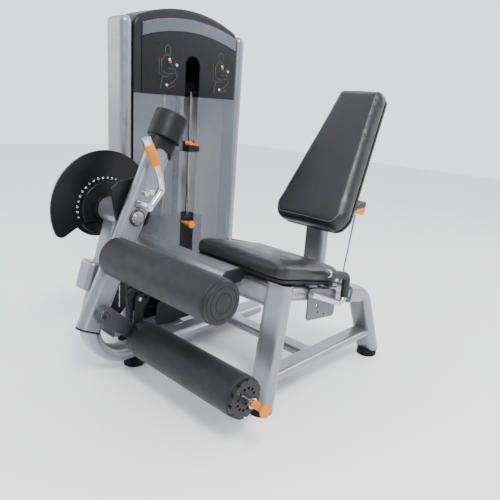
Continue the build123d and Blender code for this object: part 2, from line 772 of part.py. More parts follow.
def arm_weight():
    """The black weight and the sleeve that holds it on the arm's upper end."""
    sleeve = arm_bar(NECK_LOW, WEIGHT_LOW, ARM_WIDE + 2 * NECK_PLUS, ARM_THICK + 2 * NECK_PLUS)
    arm = arm_bar(NECK_LOW - 1, ARM_TOP, ARM_WIDE, ARM_THICK)
    scoop = rod_x(ARM_X - ARM_WIDE, ARM_X + ARM_WIDE, *arm_point(NECK_LOW - SCOOP_BELOW, 0), SCOOP_R)
    parts["weight_sleeve"] = sleeve - arm - scoop
    low = on_arm(WEIGHT_LOW, 0, ARM_X)
    drum = extrude(low * Circle(WEIGHT_R), WEIGHT_HIGH - WEIGHT_LOW)
    rims = drum.edges().filter_by(GeomType.CIRCLE)
    parts["counterweight"] = fillet(rims, WEIGHT_ROUND)


def hub_plate():
    """The black plate beside the arm, with the barrel that guides the start pin."""
    outline = fillet(Polygon(*HUB_PLATE_CORNERS, align=None).vertices(), 12)
    x0 = ARM_FACE_X - ARM_THICK - HUB_PLATE_THICK
    dy, dz = polar(HOLE_CIRCLE_R, PIN_ANGLE)
    y, z = PIVOT_Y + dy, PIVOT_Z + dz
    shaft_hole = rod_x(x0 - 5, x0 + 20, PIVOT_Y, PIVOT_Z, SHAFT_R)
    pin_hole = rod_x(x0 - 2 * BARREL_LONG, x0 + 2 * HUB_PLATE_THICK, y, z, PIN_R + RUN_CLEAR)
    plate = arm_plate(outline, x0, HUB_PLATE_THICK) - shaft_hole
    barrel = rod_x(x0 - BARREL_LONG, x0, y, z, PIN_R + BARREL_WALL)
    parts["hub_plate"] = plate + barrel - pin_hole
    tip = CAM_X + CAM_THICK / 2 + PIN_GAP
    pin = rod_x(tip, x0 - 2, y, z, PIN_R)
    parts["start_pin"] = chamfer(pin.edges().sort_by(Axis.X)[0], 2)
    bolts = []
    for v, u in HUB_PLATE_BOLTS:
        by, bz = arm_point(u, v)
        bolts.append(rod_x(x0 - BOLT_HEAD, x0, by, bz, BOLT_HEAD_R))
    parts["hub_plate_bolts"] = group(bolts)


def start_lever():
    """The bent hand lever on the arm, its grip, its end cap and the block it turns on."""
    py, pz = arm_point(*LEVER_PIVOT)
    route = [(LEVER_X, py + y, pz + z) for y, z in LEVER_ROUTE]
    path = FilletPolyline(*route, radius=[26, 40])
    start = Plane(origin=path @ 0, z_dir=path % 0)
    arm = sweep(start * Circle(LEVER_R), path=path)
    boss = rod_x(ARM_FACE_X + 6, LEVER_X + LEVER_R, py, pz, LEVER_BOSS_R)
    pin = rod_x(ARM_FACE_X, LEVER_X + LEVER_R + 4, py, pz, LEVER_PIN_R)
    last, before = Vector(*route[3]), Vector(*route[2])
    along = (last - before).normalized()
    grip_from = last - along * LEVER_GRIP_BACK
    grip_axis = Plane(origin=grip_from, z_dir=along)
    grip = extrude(grip_axis * Circle(LEVER_GRIP_R), LEVER_GRIP_LONG)
    hollow = extrude(grip_axis.offset(-5) * Circle(LEVER_R), 100)
    bore = rod_x(ARM_FACE_X, LEVER_X + 2 * LEVER_BOSS_R, py, pz, LEVER_PIN_R + RUN_CLEAR)
    parts["start_lever"] = arm + boss - bore
    rims = grip.edges().filter_by(GeomType.CIRCLE)
    parts["lever_grip"] = fillet(rims, 3) - hollow
    cap = extrude(grip_axis.offset(LEVER_GRIP_LONG + 1) * Circle(LEVER_GRIP_R - 1), LEVER_CAP_LONG)
    parts["lever_cap"] = cap - extrude(grip_axis.offset(60) * Circle(LEVER_R), 32)
    head = rod_x(LEVER_X + LEVER_R + 1, LEVER_X + LEVER_R + 6, py, pz, LEVER_PIN_HEAD_R)
    parts["lever_pin"] = pin + head
    bolts = []
    for u, v in LEVER_STOPS:
        y, z = arm_point(u, v)
        bolts.append(rod_x(ARM_FACE_X, ARM_FACE_X + LEVER_STOP_LONG, y, z, LEVER_STOP_R))
    parts["lever_stops"] = group(bolts)


def notch_plate():
    """The plate behind the arm's lower end with the steps that hold the ankle roller's link."""
    outline = fillet(Polygon(*NOTCH_CORNERS, align=None).vertices(), 6)
    for n in range(3):
        step = Pos(62 + 12 * n, -258 - 27 * n) * Rot(0, 0, -65) * SlotOverall(30, 9)
        outline = outline - step
    parts["notch_plate"] = arm_plate(outline, ARM_X - 5, 8) - arm_bar(
        -ARM_DOWN, ARM_TOP, ARM_WIDE, ARM_THICK
    )


# ================================================================ rollers
def upper_roller():
    """The padded roller above: foam over a tube, with a stepped end cap."""
    x0 = ARM_FACE_X + UPPER_START
    pad_to = UPPER_END_X - CAP_THICK
    y, z = UPPER_Y, UPPER_Z
    parts["upper_roller_pad"] = ring_x(x0, pad_to, y, z, ROLLER_R, CORE_R)
    parts["upper_roller_core"] = ring_x(x0, pad_to, y, z, CORE_R, AXLE_R + RUN_CLEAR)
    cap = rod_x(pad_to, UPPER_END_X, y, z, ROLLER_R - 4)
    cap = fillet(cap.edges().filter_by(GeomType.CIRCLE).sort_by(Axis.X)[-1], 4)
    for radius, depth in ((50, 1.5), (30, 1.5)):
        cap = cap - ring_x(UPPER_END_X - depth, UPPER_END_X + 1, y, z, radius, radius - 2)
    parts["upper_roller_cap"] = cap - rod_x(pad_to - 1, UPPER_END_X - 6, y, z, AXLE_R + 2)


def ankle_link():
    """The link from the arm's lower end to the ankle roller's axle."""
    y0, z0 = arm_point(LINK_U, LINK_V)
    x0 = ARM_FACE_X + 1
    outline = make_hull([
        *(Pos(y0, z0) * Circle(LINK_WIDE / 2)).edges(),
        *(Pos(LOWER_Y, LOWER_Z) * Circle(LINK_WIDE / 2 - 6)).edges(),
    ])
    axle = rod_x(x0, LOWER_END_X + AXLE_PROUD, LOWER_Y, LOWER_Z, AXLE_R)
    axle_bore = rod_x(x0 + 20, LOWER_END_X + AXLE_PROUD + 1, LOWER_Y, LOWER_Z, STEM_R + RUN_CLEAR)
    plate = yz_plate(outline, x0, LINK_THICK)
    parts["ankle_link"] = plate - axle - rod_x(x0 - 1, x0 + 20, y0, z0, LINK_PIN_R + RUN_CLEAR)
    parts["lower_axle"] = axle - axle_bore


def lower_roller():
    """The padded ankle roller with a flange, a ribbed collar and a toothed hub ring."""
    y, z = LOWER_Y, LOWER_Z
    x0 = ARM_FACE_X + 1 + LINK_THICK + 1
    x1 = x0 + LOWER_FLANGE_THICK
    x2 = x1 + COLLAR_LONG
    parts["lower_roller_flange"] = ring_x(x0, x1, y, z, LOWER_FLANGE_R, AXLE_R + RUN_CLEAR)
    collar = ring_x(x1, x2, y, z, ROLLER_R - COLLAR_STEP, CORE_R)
    parts["lower_roller_collar"] = collar
    pad_to = LOWER_END_X - HUB_LONG
    parts["lower_roller_pad"] = ring_x(x2, pad_to, y, z, ROLLER_R, CORE_R)
    parts["lower_roller_core"] = ring_x(x1, pad_to, y, z, CORE_R, AXLE_R + RUN_CLEAR)
    hub = ring_x(pad_to, LOWER_END_X, y, z, ROLLER_R - HUB_STEP, AXLE_R + RUN_CLEAR)
    pitch = 360 / HUB_TEETH
    for n in range(HUB_TEETH):
        dy, dz = polar(ROLLER_R - HUB_STEP, pitch * n)
        hub = hub - rod_x(pad_to + 3, LOWER_END_X + 1, y + dy, z + dz, TOOTH_GAP_R)
        dy, dz = polar(ROLLER_R * HUB_HOLE_CIRCLE, pitch * (n + 0.5))
        hub = hub - rod_x(pad_to + 4, LOWER_END_X + 1, y + dy, z + dz, HUB_HOLE_R)
    parts["lower_roller_hub"] = hub
    sleeve_from = LOWER_END_X + AXLE_PROUD
    parts["knob_sleeve"] = ring_x(sleeve_from, sleeve_from + SLEEVE_LONG, y, z, SLEEVE_R, STEM_R + RUN_CLEAR)


def release_knob():
    """The pull knob on the end of the stem that runs inside the ankle roller's axle."""
    stem_to = KNOB_TO - KNOB_SOLID
    parts["release_stem"] = rod_x(
        LOWER_END_X - STEM_IN, LOWER_END_X + stem_to, LOWER_Y, LOWER_Z, STEM_R
    )
    profile = [
        (KNOB_FROM, STEM_R),
        (KNOB_FROM, KNOB_NECK_R),
        (KNOB_WAIST, KNOB_WAIST_R),
        (KNOB_RIM_FROM, KNOB_RIM_R),
        (KNOB_TO, KNOB_RIM_R),
        (KNOB_TO, 0),
        (stem_to, 0),
        (stem_to, STEM_R),
    ]
    knob = revolve(Plane.XZ * Polygon(*profile, align=None), Axis.X)
    parts["release_knob"] = Pos(LOWER_END_X, LOWER_Y, LOWER_Z) * knob


# ================================================================ seat
def seat_plane():
    return Plane(
        origin=(0, SEAT_FRONT_Y, SEAT_FRONT_Z),
        x_dir=(1, 0, 0),
        z_dir=(0, math.sin(SLOPE), math.cos(SLOPE)),
    )


def seat():
    """The seat cushion on its board."""
    plane = seat_plane()
    outline = Pos(0, SEAT_DEEP / 2) * RectangleRounded(SEAT_WIDE, SEAT_DEEP, SEAT_CORNER_R)
    pad = extrude(plane * outline, SEAT_THICK)
    pad = fillet(pad.edges().filter_by(lambda e: on_top(e, plane, SEAT_THICK)), SEAT_ROUND)
    parts["seat_pad"] = pad
    board_size = (SEAT_WIDE - 2 * BOARD_INSET, SEAT_DEEP - 2 * BOARD_INSET)
    board = Pos(0, SEAT_DEEP / 2) * RectangleRounded(*board_size, SEAT_CORNER_R - BOARD_INSET)
    parts["seat_board"] = extrude(plane.offset(-SEAT_PAN) * board, SEAT_PAN)


def on_top(edge, plane, height):
    """Whether an edge lies wholly at this height over a plane."""
    local = [plane.to_local_coords(edge @ t).Z for t in (0, 0.5, 1)]
    return all(abs(z - height) < 0.01 for z in local)


def seat_supports():
    """Two cross bars under the board and the plate that hangs at each side."""
    plane = seat_plane().offset(-SEAT_PAN - BAR_THICK)
    bars = []
    for y in BAR_AT:
        bars.append(extrude(plane * (Pos(0, y) * Rectangle(2 * PLATE_X, BAR_WIDE)), BAR_THICK))
    rail = rear_solid()
    parts["seat_cross_bars"] = group([cross_bar - rail for cross_bar in bars])
    outline = fillet(
        Polygon(
            (PLATE_FRONT_Y, PLATE_LOW_Z + PLATE_RISE),
            (PLATE_FRONT_Y + PLATE_WIDE, PLATE_LOW_Z),
            (PLATE_FRONT_Y + PLATE_WIDE, PLATE_TOP_Z - PLATE_DROP),
            (PLATE_FRONT_Y, PLATE_TOP_Z),
            align=None,
        ).vertices(),
        PLATE_CORNER_R,
    )
    for y, z, radius in SIDE_PLATE_HOLES:
        outline = outline - Pos(PLATE_FRONT_Y + y, PLATE_LOW_Z + z) * Circle(radius)
    right = yz_plate(outline, PLATE_X, SIDE_PLATE_THICK)
    left = yz_plate(outline, -PLATE_X - SIDE_PLATE_THICK, SIDE_PLATE_THICK)
    parts["side_plates"] = group([right, left])


def hand_grips():
    """A bent tube at each side of the seat, with a rubber grip and a bolted end cap."""
    tubes, grips, caps = [], [], []
    for side in (1, -1):
        x = side * GRIP_X
        route = [(x, y, z) for y, z in GRIP_ROUTE]
        path = FilletPolyline(*route, radius=list(GRIP_BENDS))
        start = Plane(origin=path @ 0, z_dir=path % 0)
        solid = sweep(start * Circle(GRIP_TUBE_R), path=path)
        rubber_end = (x, GRIP_ROUTE[2][0], GRIP_ROUTE[2][1] + GRIP_END_ABOVE)
        grip_path = FilletPolyline(*route[:2], rubber_end, radius=[GRIP_BENDS[0]])
        outer = sweep(start * Circle(GRIP_R), path=grip_path)
        grips.append(outer - solid)
        tubes.append(solid)
        cap = extrude(start * Circle(GRIP_R), -GRIP_CAP)
        caps.append(fillet(cap.edges().filter_by(GeomType.CIRCLE), 2))
    parts["grip_tubes"] = group(tubes)
    parts["grip_rubbers"] = group(grips)
    parts["grip_end_caps"] = group(caps)


# ================================================================ back rest
def back_plane():
    """Front face of the back pad: X across, Y up its length."""
    tilt = math.radians(BACK_TILT)
    return Plane(
        origin=(0, BACK_LOW_Y, BACK_LOW_Z),
        x_dir=(1, 0, 0),
        z_dir=(0, -math.cos(tilt), math.sin(tilt)),
    )


def back_outline(inset):
    """The pad's outline: widest low down, narrower at the top."""
    low, top = BACK_LOW_WIDE / 2 - inset, BACK_TOP_WIDE / 2 - inset
    high = BACK_LONG - inset
    right = [(low - BACK_CUT, inset), (low, BACK_KNEE), (top, high)]
    corners = right + [(-x, y) for x, y in reversed(right)]
    shape = Polygon(*corners, align=None)
    shape = fillet(shape.vertices().sort_by(Axis.Y)[-2:], BACK_CORNER_R)
    return fillet(shape.vertices().sort_by(Axis.Y)[:4], BACK_LOW_CORNER_R)


def back_rest():
    """The cushion, the hard shell behind it and the bent post that carries them."""
    plane = back_plane()
    parts["back_pad"] = extrude(plane.offset(-BACK_THICK) * back_outline(0), BACK_THICK)
    shell_plane = plane.offset(-BACK_THICK - BACK_SHELL)
    parts["back_shell"] = extrude(shell_plane * back_outline(SHELL_INSET), BACK_SHELL)
    tilt = math.radians(BACK_TILT)
    deep = BACK_THICK + BACK_SHELL + TUBE_THICK / 2
    y0 = BACK_LOW_Y + deep * math.cos(tilt)
    z0 = BACK_LOW_Z - deep * math.sin(tilt)
    corner_z = z0 + (POST_Y - y0) / math.tan(tilt)
    points = [
        (POST_Y, POST_LOW_Z),
        (POST_Y, corner_z),
        (POST_Y + POST_UP * math.sin(tilt), corner_z + POST_UP * math.cos(tilt)),
    ]
    path = side_path(points, [60], 0)
    parts["back_post"] = bent(path, TUBE_WIDE, TUBE_THICK) - bent(path, TUBE_WIDE, TUBE_THICK, WALL)


def carriage():
    """The sleeve that slides on the rail, its shelf for the post, the paddle and its rod."""
    z = rail_z(POST_Y)
    down = (0, math.cos(SLOPE), -math.sin(SLOPE))
    middle = Plane(origin=(SIDE_X, POST_Y, z), x_dir=(1, 0, 0), z_dir=down)
    half = CARRIAGE_LONG / 2
    section = RectangleRounded(2 * CARRIAGE_HALF_X, 2 * CARRIAGE_HALF_Z, CARRIAGE_ROUND)
    sleeve = extrude(middle * section, half, both=True)
    rail = extrude(middle * oval(TUBE_WIDE + 2 * SLIDE_GAP, TUBE_THICK + 2 * SLIDE_GAP), half + 1, both=True)
    shelf = block(
        (-TUBE_WIDE / 2 - SHELF_INSET, SIDE_X - CARRIAGE_HALF_X + 10),
        (POST_Y - half + SHELF_INSET, POST_Y + half - SHELF_INSET),
        (POST_LOW_Z - SHELF_THICK, POST_LOW_Z),
    )
    parts["back_carriage"] = sleeve + shelf - rail


def paddle():
    """The hand paddle behind the back pad, its hinge pin and the rod down to the carriage."""
    tilt = math.radians(BACK_TILT)
    behind = BACK_THICK + BACK_SHELL + PADDLE_OUT
    y = BACK_LOW_Y + PADDLE_UP * math.sin(tilt) + behind * math.cos(tilt)
    z = BACK_LOW_Z + PADDLE_UP * math.cos(tilt) - behind * math.sin(tilt)
    half = PADDLE_WIDE / 2
    pin = rod_x(PADDLE_X - half - 12, PADDLE_X + half, y, z, PADDLE_PIN_R)
    lug_x = (PADDLE_X - half - 10, PADDLE_X - half - 2)
    lug = ring_x(*lug_x, y, z, PADDLE_PIN_R + 6, PADDLE_PIN_R)
    shell = extrude(back_plane().offset(-BACK_THICK - BACK_SHELL) * back_outline(SHELL_INSET), BACK_THICK)
    arm = block(lug_x, (y - PADDLE_OUT - 12, y), (z - 7, z + 7)) - pin - shell
    parts["paddle_pin"] = pin
    parts["paddle_lug"] = lug + arm.solids().sort_by(SortBy.VOLUME)[-1]
    body = make_hull([
        *(Pos(y, z) * Circle(PADDLE_PIN_R + 7)).edges(),
        *(Pos(y + PADDLE_LONG, z + 16) * Circle(10)).edges(),
        *(Pos(y + PADDLE_LONG - 6, z - 20) * Circle(9)).edges(),
    ])
    solid = yz_plate(body, PADDLE_X - half, PADDLE_WIDE)
    bore = rod_x(PADDLE_X - half - 1, PADDLE_X + half + 1, y, z, PADDLE_PIN_R + RUN_CLEAR)
    parts["release_paddle"] = fillet(solid.edges().filter_by(GeomType.CIRCLE), 3) - bore
    top = Vector(PADDLE_X, y + ROD_AT, z - ROD_BELOW)
    foot = Vector(PADDLE_X, POST_Y + 22, rail_z(POST_Y) + CARRIAGE_HALF_Z + 2)
    axis = Plane(origin=foot, z_dir=top - foot)
    rod = extrude(axis * Circle(ROD_R), (top - foot).length)
    parts["release_rod"] = rod
    guide = extrude(axis.offset(8) * Circle(ROD_R + 6), 14)
    hole = extrude(axis.offset(7) * Circle(ROD_R + RUN_CLEAR), 16)
    stand = block((PADDLE_X - 6, PADDLE_X + 6), (foot.Y - 16, foot.Y - 6), (foot.Z - 8, foot.Z + 20))
    parts["back_carriage"] = parts["back_carriage"] + stand + guide - hole


# ================================================================ tower
def tower_base_solid(offset=0.0):
    low_y, high_y = COLUMN_FRONT_Y - 60, COLUMN_REAR_Y + 60
    return bar(
        (TOWER_X, low_y, FLOOR_TUBE_Z),
        (TOWER_X, high_y, FLOOR_TUBE_Z),
        (1, 0, 0),
        COLUMN_WIDE - 2 * offset,
        TUBE_THICK - 2 * offset,
    )


def column_solid(y):
    """The space one column and its cap fill, with a little air round it."""
    foot, top = (TOWER_X, y, COLUMN_LOW_Z), (TOWER_X, y, TOWER_TOP_Z)
    return bar(foot, top, (1, 0, 0), COLUMN_WIDE + COLUMN_AIR, COLUMN_DEEP + COLUMN_AIR)


def tower_frame():
    """The base tube, two flat-oval columns with domed caps and the plate over them."""
    parts["tower_base_tube"] = tower_base_solid() - tower_base_solid(WALL)
    columns, caps = [], []
    for y in (COLUMN_FRONT_Y, COLUMN_REAR_Y):
        foot, top = (TOWER_X, y, COLUMN_LOW_Z), (TOWER_X, y, COLUMN_TOP_Z)
        column = tube(foot, top, (1, 0, 0), COLUMN_WIDE, COLUMN_DEEP)
        columns.append(column)
        cap = bar(top, (TOWER_X, y, CAP_TOP_Z), (1, 0, 0), COLUMN_WIDE, COLUMN_DEEP)
        caps.append(fillet(cap.faces().sort_by(Axis.Z)[-1].edges(), CAP_ROUND))
    parts["column_front"] = columns[0]
    parts["column_rear"] = columns[1]
    parts["column_caps"] = group(caps)
    inside = (BODY_FRONT_Y, BODY_REAR_Y)
    height = (HEAD_BEAM_Z, HEAD_BEAM_Z + HEAD_RAIL_HIGH)
    half = RAIL_THICK / 2
    rail_x = (STACK_X - HANGER_OUT, STACK_X + HANGER_OUT)
    rails = [block((x - half, x + half), inside, height) for x in rail_x]
    across = (STACK_X - HANGER_OUT - half, STACK_X + HANGER_OUT + half)
    ends = [
        block(across, (BODY_FRONT_Y, BODY_FRONT_Y + RAIL_THICK), height),
        block(across, (BODY_REAR_Y - RAIL_THICK, BODY_REAR_Y), height),
    ]
    parts["head_beam"] = joined(rails + ends)
    floor = block(
        (STACK_X - TOWER_FLOOR_HALF, STACK_X + TOWER_FLOOR_HALF),
        (BODY_FRONT_Y, BODY_REAR_Y),
        (COLUMN_LOW_Z, COLUMN_LOW_Z + TOWER_FLOOR_THICK),
    )
    slots = plate_bores(COLUMN_LOW_Z, COLUMN_LOW_Z + TOWER_FLOOR_THICK, 0)
    rods = [
        rod_z(STACK_X, STACK_Y + side * GUIDE_SPREAD / 2, COLUMN_LOW_Z, HEAD_BEAM_Z + 20, GUIDE_R)
        for side in (-1, 1)
    ]
    parts["guide_rods"] = group(rods)
    parts["tower_floor"] = floor - slots[0] - slots[1]


def head_outline(inset=0.0):
    """The head's side view: upright sides and an arched top with rounded shoulders."""
    left, right = BODY_FRONT_Y + inset, BODY_REAR_Y - inset
    shoulder = TOWER_TOP_Z - HEAD_ARCH - inset
    middle = (left + right) / 2
    sides = Polyline((left, shoulder), (left, HEAD_LOW_Z), (right, HEAD_LOW_Z), (right, shoulder))
    arch = ThreePointArc((right, shoulder), (middle, TOWER_TOP_Z - inset), (left, shoulder))
    face = make_face([*sides.edges(), *arch.edges()])
    tops = face.vertices().sort_by(Axis.Y)[-2:]
    return fillet(tops, HEAD_SHOULDER_R - inset)


def tower_head():
    """The black hood over the tower's top, with a silver band and the picture panel."""
    whole = yz_plate(head_outline(), TOWER_BACK_X, TOWER_FACE_X - TOWER_BACK_X)
    corners = whole.edges().filter_by(Axis.Z).group_by(Axis.X)[0]
    whole = fillet(corners, HEAD_CORNER_R)
    front = whole.faces().sort_by(Axis.X)[-1].edges()
    whole = fillet(front.filter_by(lambda edge: edge.center().Z > HEAD_LOW_Z + 5), HOOD_ROUND)
    inner = yz_plate(head_outline(SHELL), TOWER_BACK_X + SHELL, TOWER_FACE_X - TOWER_BACK_X - 2 * SHELL)
    inside_x = (TOWER_BACK_X + SHELL, TOWER_FACE_X - SHELL)
    inside_y = (BODY_FRONT_Y + SHELL, BODY_REAR_Y - SHELL)
    inner = fillet(inner.edges().filter_by(Axis.Z).group_by(Axis.X)[0], HEAD_CORNER_R - SHELL)
    below = inner & block(inside_x, inside_y, (HEAD_LOW_Z, HEAD_LOW_Z + 20))
    below = Pos(0, 0, -10) * below
    slot = yz_plate(slot_outline(), TOWER_FACE_X - 40, 60)
    columns = [column_solid(y) for y in (COLUMN_FRONT_Y, COLUMN_REAR_Y)]
    hood = whole - inner - below - slot - columns[0] - columns[1]
    hood = hood - block(HEAD_BEAM_X, (BODY_FRONT_Y, BODY_REAR_Y), (HEAD_BEAM_Z, HEAD_BEAM_Z + HEAD_RAIL_HIGH))
    parts["tower_head"] = hood.solids().sort_by(SortBy.VOLUME)[-1]
    panel = arched_outline(HEAD_LOW_Z + 2, 0, BAND_LOW_Z - 1, BAND_RISE)
    parts["picture_panel"] = yz_plate(panel, TOWER_FACE_X, PICTURE_THICK) - slot
    band = arched_outline(BAND_LOW_Z, BAND_RISE, TOWER_TOP_Z - HEAD_ARCH - BAND_BELOW_ARCH, BAND_RISE)
    band = yz_plate(band, TOWER_FACE_X, BAND_THICK)
    parts["head_band"] = fillet(band.faces().sort_by(Axis.X)[-1].edges(), 2)


def arched_outline(low, low_rise, high, high_rise):
    """A sketch across the hood's front whose lower and upper edges rise by this much midway."""
    left, right = BODY_FRONT_Y + PLACARD_EDGE, BODY_REAR_Y - PLACARD_EDGE / 2
    middle = (left + right) / 2
    if low_rise:
        under = ThreePointArc((left, low), (middle, low + low_rise), (right, low))
    else:
        under = Line((left, low), (right, low))
    over = ThreePointArc((right, high), (middle, high + high_rise), (left, high))
    sides = [Line((right, low), (right, high)), Line((left, high), (left, low))]
    return make_face([under, sides[0], over, sides[1]])


def slot_outline():
    """The tall opening with a round top through which the stack's pin is set."""
    low = TOWER_LOW_Z + 30
    straight = SLOT_TOP_Z - SLOT_WIDE / 2
    return Pos(STACK_Y, (low + straight) / 2) * Rectangle(SLOT_WIDE, straight - low) + Pos(
        STACK_Y, straight
    ) * Circle(SLOT_WIDE / 2)


def tower_panels():
    """The tinted front panels and the moulded shroud behind the stack."""
    x0 = TOWER_FACE_X - PANEL_THICK
    low = COLUMN_LOW_Z + 8
    left = block((x0, TOWER_FACE_X), (BODY_FRONT_Y, STACK_Y - SLOT_WIDE / 2), (low, HEAD_LOW_Z))
    right = block((x0, TOWER_FACE_X), (STACK_Y + SLOT_WIDE / 2, BODY_REAR_Y), (low, HEAD_LOW_Z))
    parts["front_panel_left"] = left
    parts["front_panel_right"] = right
    shroud = shroud_ring(0, low) - shroud_ring(SHELL, low)
    for y in (COLUMN_FRONT_Y, COLUMN_REAR_Y):
        shroud = shroud - column_solid(y)
    parts["rear_shroud"] = shroud.solids().sort_by(SortBy.VOLUME)[-1]


def shroud_ring(inset, low):
    """The shroud's solid shape behind the columns, or its hollow when inset."""
    wide = BODY_REAR_Y - BODY_FRONT_Y - 2 * inset
    deep = 2 * (SHROUD_FRONT_X - TOWER_BACK_X - inset)
    centre = (SHROUD_FRONT_X, (BODY_FRONT_Y + BODY_REAR_Y) / 2)
    outline = Pos(*centre) * RectangleRounded(deep, wide, SHROUD_R - inset)
    solid = extrude(Plane.XY.offset(low) * outline, HEAD_LOW_Z - low)
    behind = block((TOWER_BACK_X - 9, centre[0]), (0, 900), (low, HEAD_LOW_Z))
    return solid & behind


# ================================================================ weight stack
def plate_bores(z0, z1, clearance):
    return [
        rod_z(STACK_X, STACK_Y + side * GUIDE_SPREAD / 2, z0 - 1, z1 + 1, GUIDE_R + clearance)
        for side in (-1, 1)
    ]


def stack_plate(z0, high, clearance=0.1):
    """One cast plate with its guide holes, stem hole and pin groove."""
    plate = block(
        (STACK_X - PLATE_DEEP / 2, STACK_X + PLATE_DEEP / 2),
        (STACK_Y - PLATE_LONG / 2, STACK_Y + PLATE_LONG / 2),
        (z0, z0 + high),
    )
    plate = fillet(plate.edges().filter_by(Axis.Z), PLATE_ROUND)
    for bore in plate_bores(z0, z0 + high, clearance):
        plate = plate - bore
    stem = block(
        (STACK_X - STEM_THICK / 2 - STEM_AIR, STACK_X + STEM_THICK / 2 + STEM_AIR),
        (STACK_Y - STEM_WIDE / 2 - STEM_AIR, STACK_Y + STEM_WIDE / 2 + STEM_AIR),
        (z0 - 1, z0 + high + 1),
    )
    return plate - stem


def weight_stack():
    """Bumpers, the plates that stay down, the lifted top plate, its stem and the pins."""
    floor_z = COLUMN_LOW_Z + TOWER_FLOOR_THICK
    bumpers = [
        ring_z(STACK_X, STACK_Y + side * GUIDE_SPREAD / 2, floor_z, STACK_LOW_Z - 0.2, BUMPER_R, GUIDE_R)
        for side in (-1, 1)
    ]
    parts["stack_bumpers"] = group(bumpers)
    pitch = PLATE_HIGH + PLATE_GAP
    plates = [stack_plate(STACK_LOW_Z + n * pitch, PLATE_HIGH) for n in range(PLATE_COUNT)]
    parts["stack_plates"] = group(plates)
    top_z = STACK_LOW_Z + PLATE_COUNT * pitch
    top = stack_plate(top_z, TOP_PLATE_HIGH)
    pin_z = top_z + TOP_PLATE_HIGH / 2
    face = STACK_X + PLATE_DEEP / 2
    pin_hole = rod_x(STACK_X - 20, face + 1, STACK_Y, pin_z, SELECTOR_R + RUN_CLEAR)
    parts["top_plate"] = top - pin_hole
    stem = block(
        (STACK_X - STEM_THICK / 2, STACK_X + STEM_THICK / 2),
        (STACK_Y - STEM_WIDE / 2, STACK_Y + STEM_WIDE / 2),
        (top_z - 4 * pitch, STEM_TOP_Z),
    )
    for n in range(STEM_HOLES):
        z = top_z + TOP_PLATE_HIGH + 30 + n * STEM_HOLE_STEP
        stem = stem - rod_x(STACK_X - STEM_THICK, STACK_X + STEM_THICK, STACK_Y, z, STEM_HOLE_R)
    parts["stack_stem"] = stem - pin_hole
    clamp = block(
        (STACK_X - CLAMP_HALF[0], STACK_X + CLAMP_HALF[0]),
        (STACK_Y - CLAMP_HALF[1], STACK_Y + CLAMP_HALF[1]),
        (STEM_TOP_Z - CLAMP_HALF[2], STEM_TOP_Z + CLAMP_HALF[2]),
    )
    clamp_cut = block(
        (STACK_X - STEM_THICK / 2, STACK_X + STEM_THICK / 2),
        (STACK_Y - STEM_WIDE / 2, STACK_Y + STEM_WIDE / 2),
        (STEM_TOP_Z - 50, STEM_TOP_Z),
    )
    parts["belt_clamp"] = clamp - clamp_cut
    across = (STACK_Y - 30, STACK_Y + 30)
    addon = block((STACK_X + 16.5, TOWER_FACE_X + 30), across, (ADDON_Z - 24, ADDON_Z))
    parts["addon_weight"] = fillet(addon.edges().filter_by(Axis.X), 3)
    reach = (TOWER_FACE_X - 10, TOWER_FACE_X + 26)
    lever = block(reach, (STACK_Y - 20, STACK_Y + 20), (ADDON_Z + 4, ADDON_Z + 12))
    barrel = rod_y(TOWER_FACE_X - 12, STACK_Y - 20, STACK_Y + 20, ADDON_Z + 10, 9)
    bore = rod_y(TOWER_FACE_X - 12, STACK_Y - 40, STACK_Y + 40, ADDON_Z + 10, 4 + RUN_CLEAR)
    parts["addon_lever"] = lever + barrel - bore
    ear = block((TOWER_FACE_X - 22, TOWER_FACE_X - 4), (STACK_Y - 4, STACK_Y + 4), (ADDON_Z, ADDON_Z + 20))
    ears = [Pos(0, side * 26, 0) * ear for side in (-1, 1)]
    pin = rod_y(TOWER_FACE_X - 12, STACK_Y - 30, STACK_Y + 30, ADDON_Z + 10, 4)
    parts["addon_pin"] = pin
    parts["addon_ears"] = group([ear - pin for ear in ears])
    shank = rod_x(STACK_X - 18, TOWER_FACE_X - 8, STACK_Y, pin_z, SELECTOR_R)
    collar = rod_x(TOWER_FACE_X - 8, TOWER_FACE_X + 22, STACK_Y, pin_z, COLLAR_R)
    parts["selector_pin"] = shank + collar
    head = rod_x(TOWER_FACE_X + 22, TOWER_FACE_X + 38, STACK_Y, pin_z, HEAD_R)
    parts["selector_head"] = fillet(head.edges().filter_by(GeomType.CIRCLE), 4)


def ring_z(x, y, z0, z1, outer, inner):
    return rod_z(x, y, z0, z1, outer) - rod_z(x, y, z0 - 1, z1 + 1, inner)


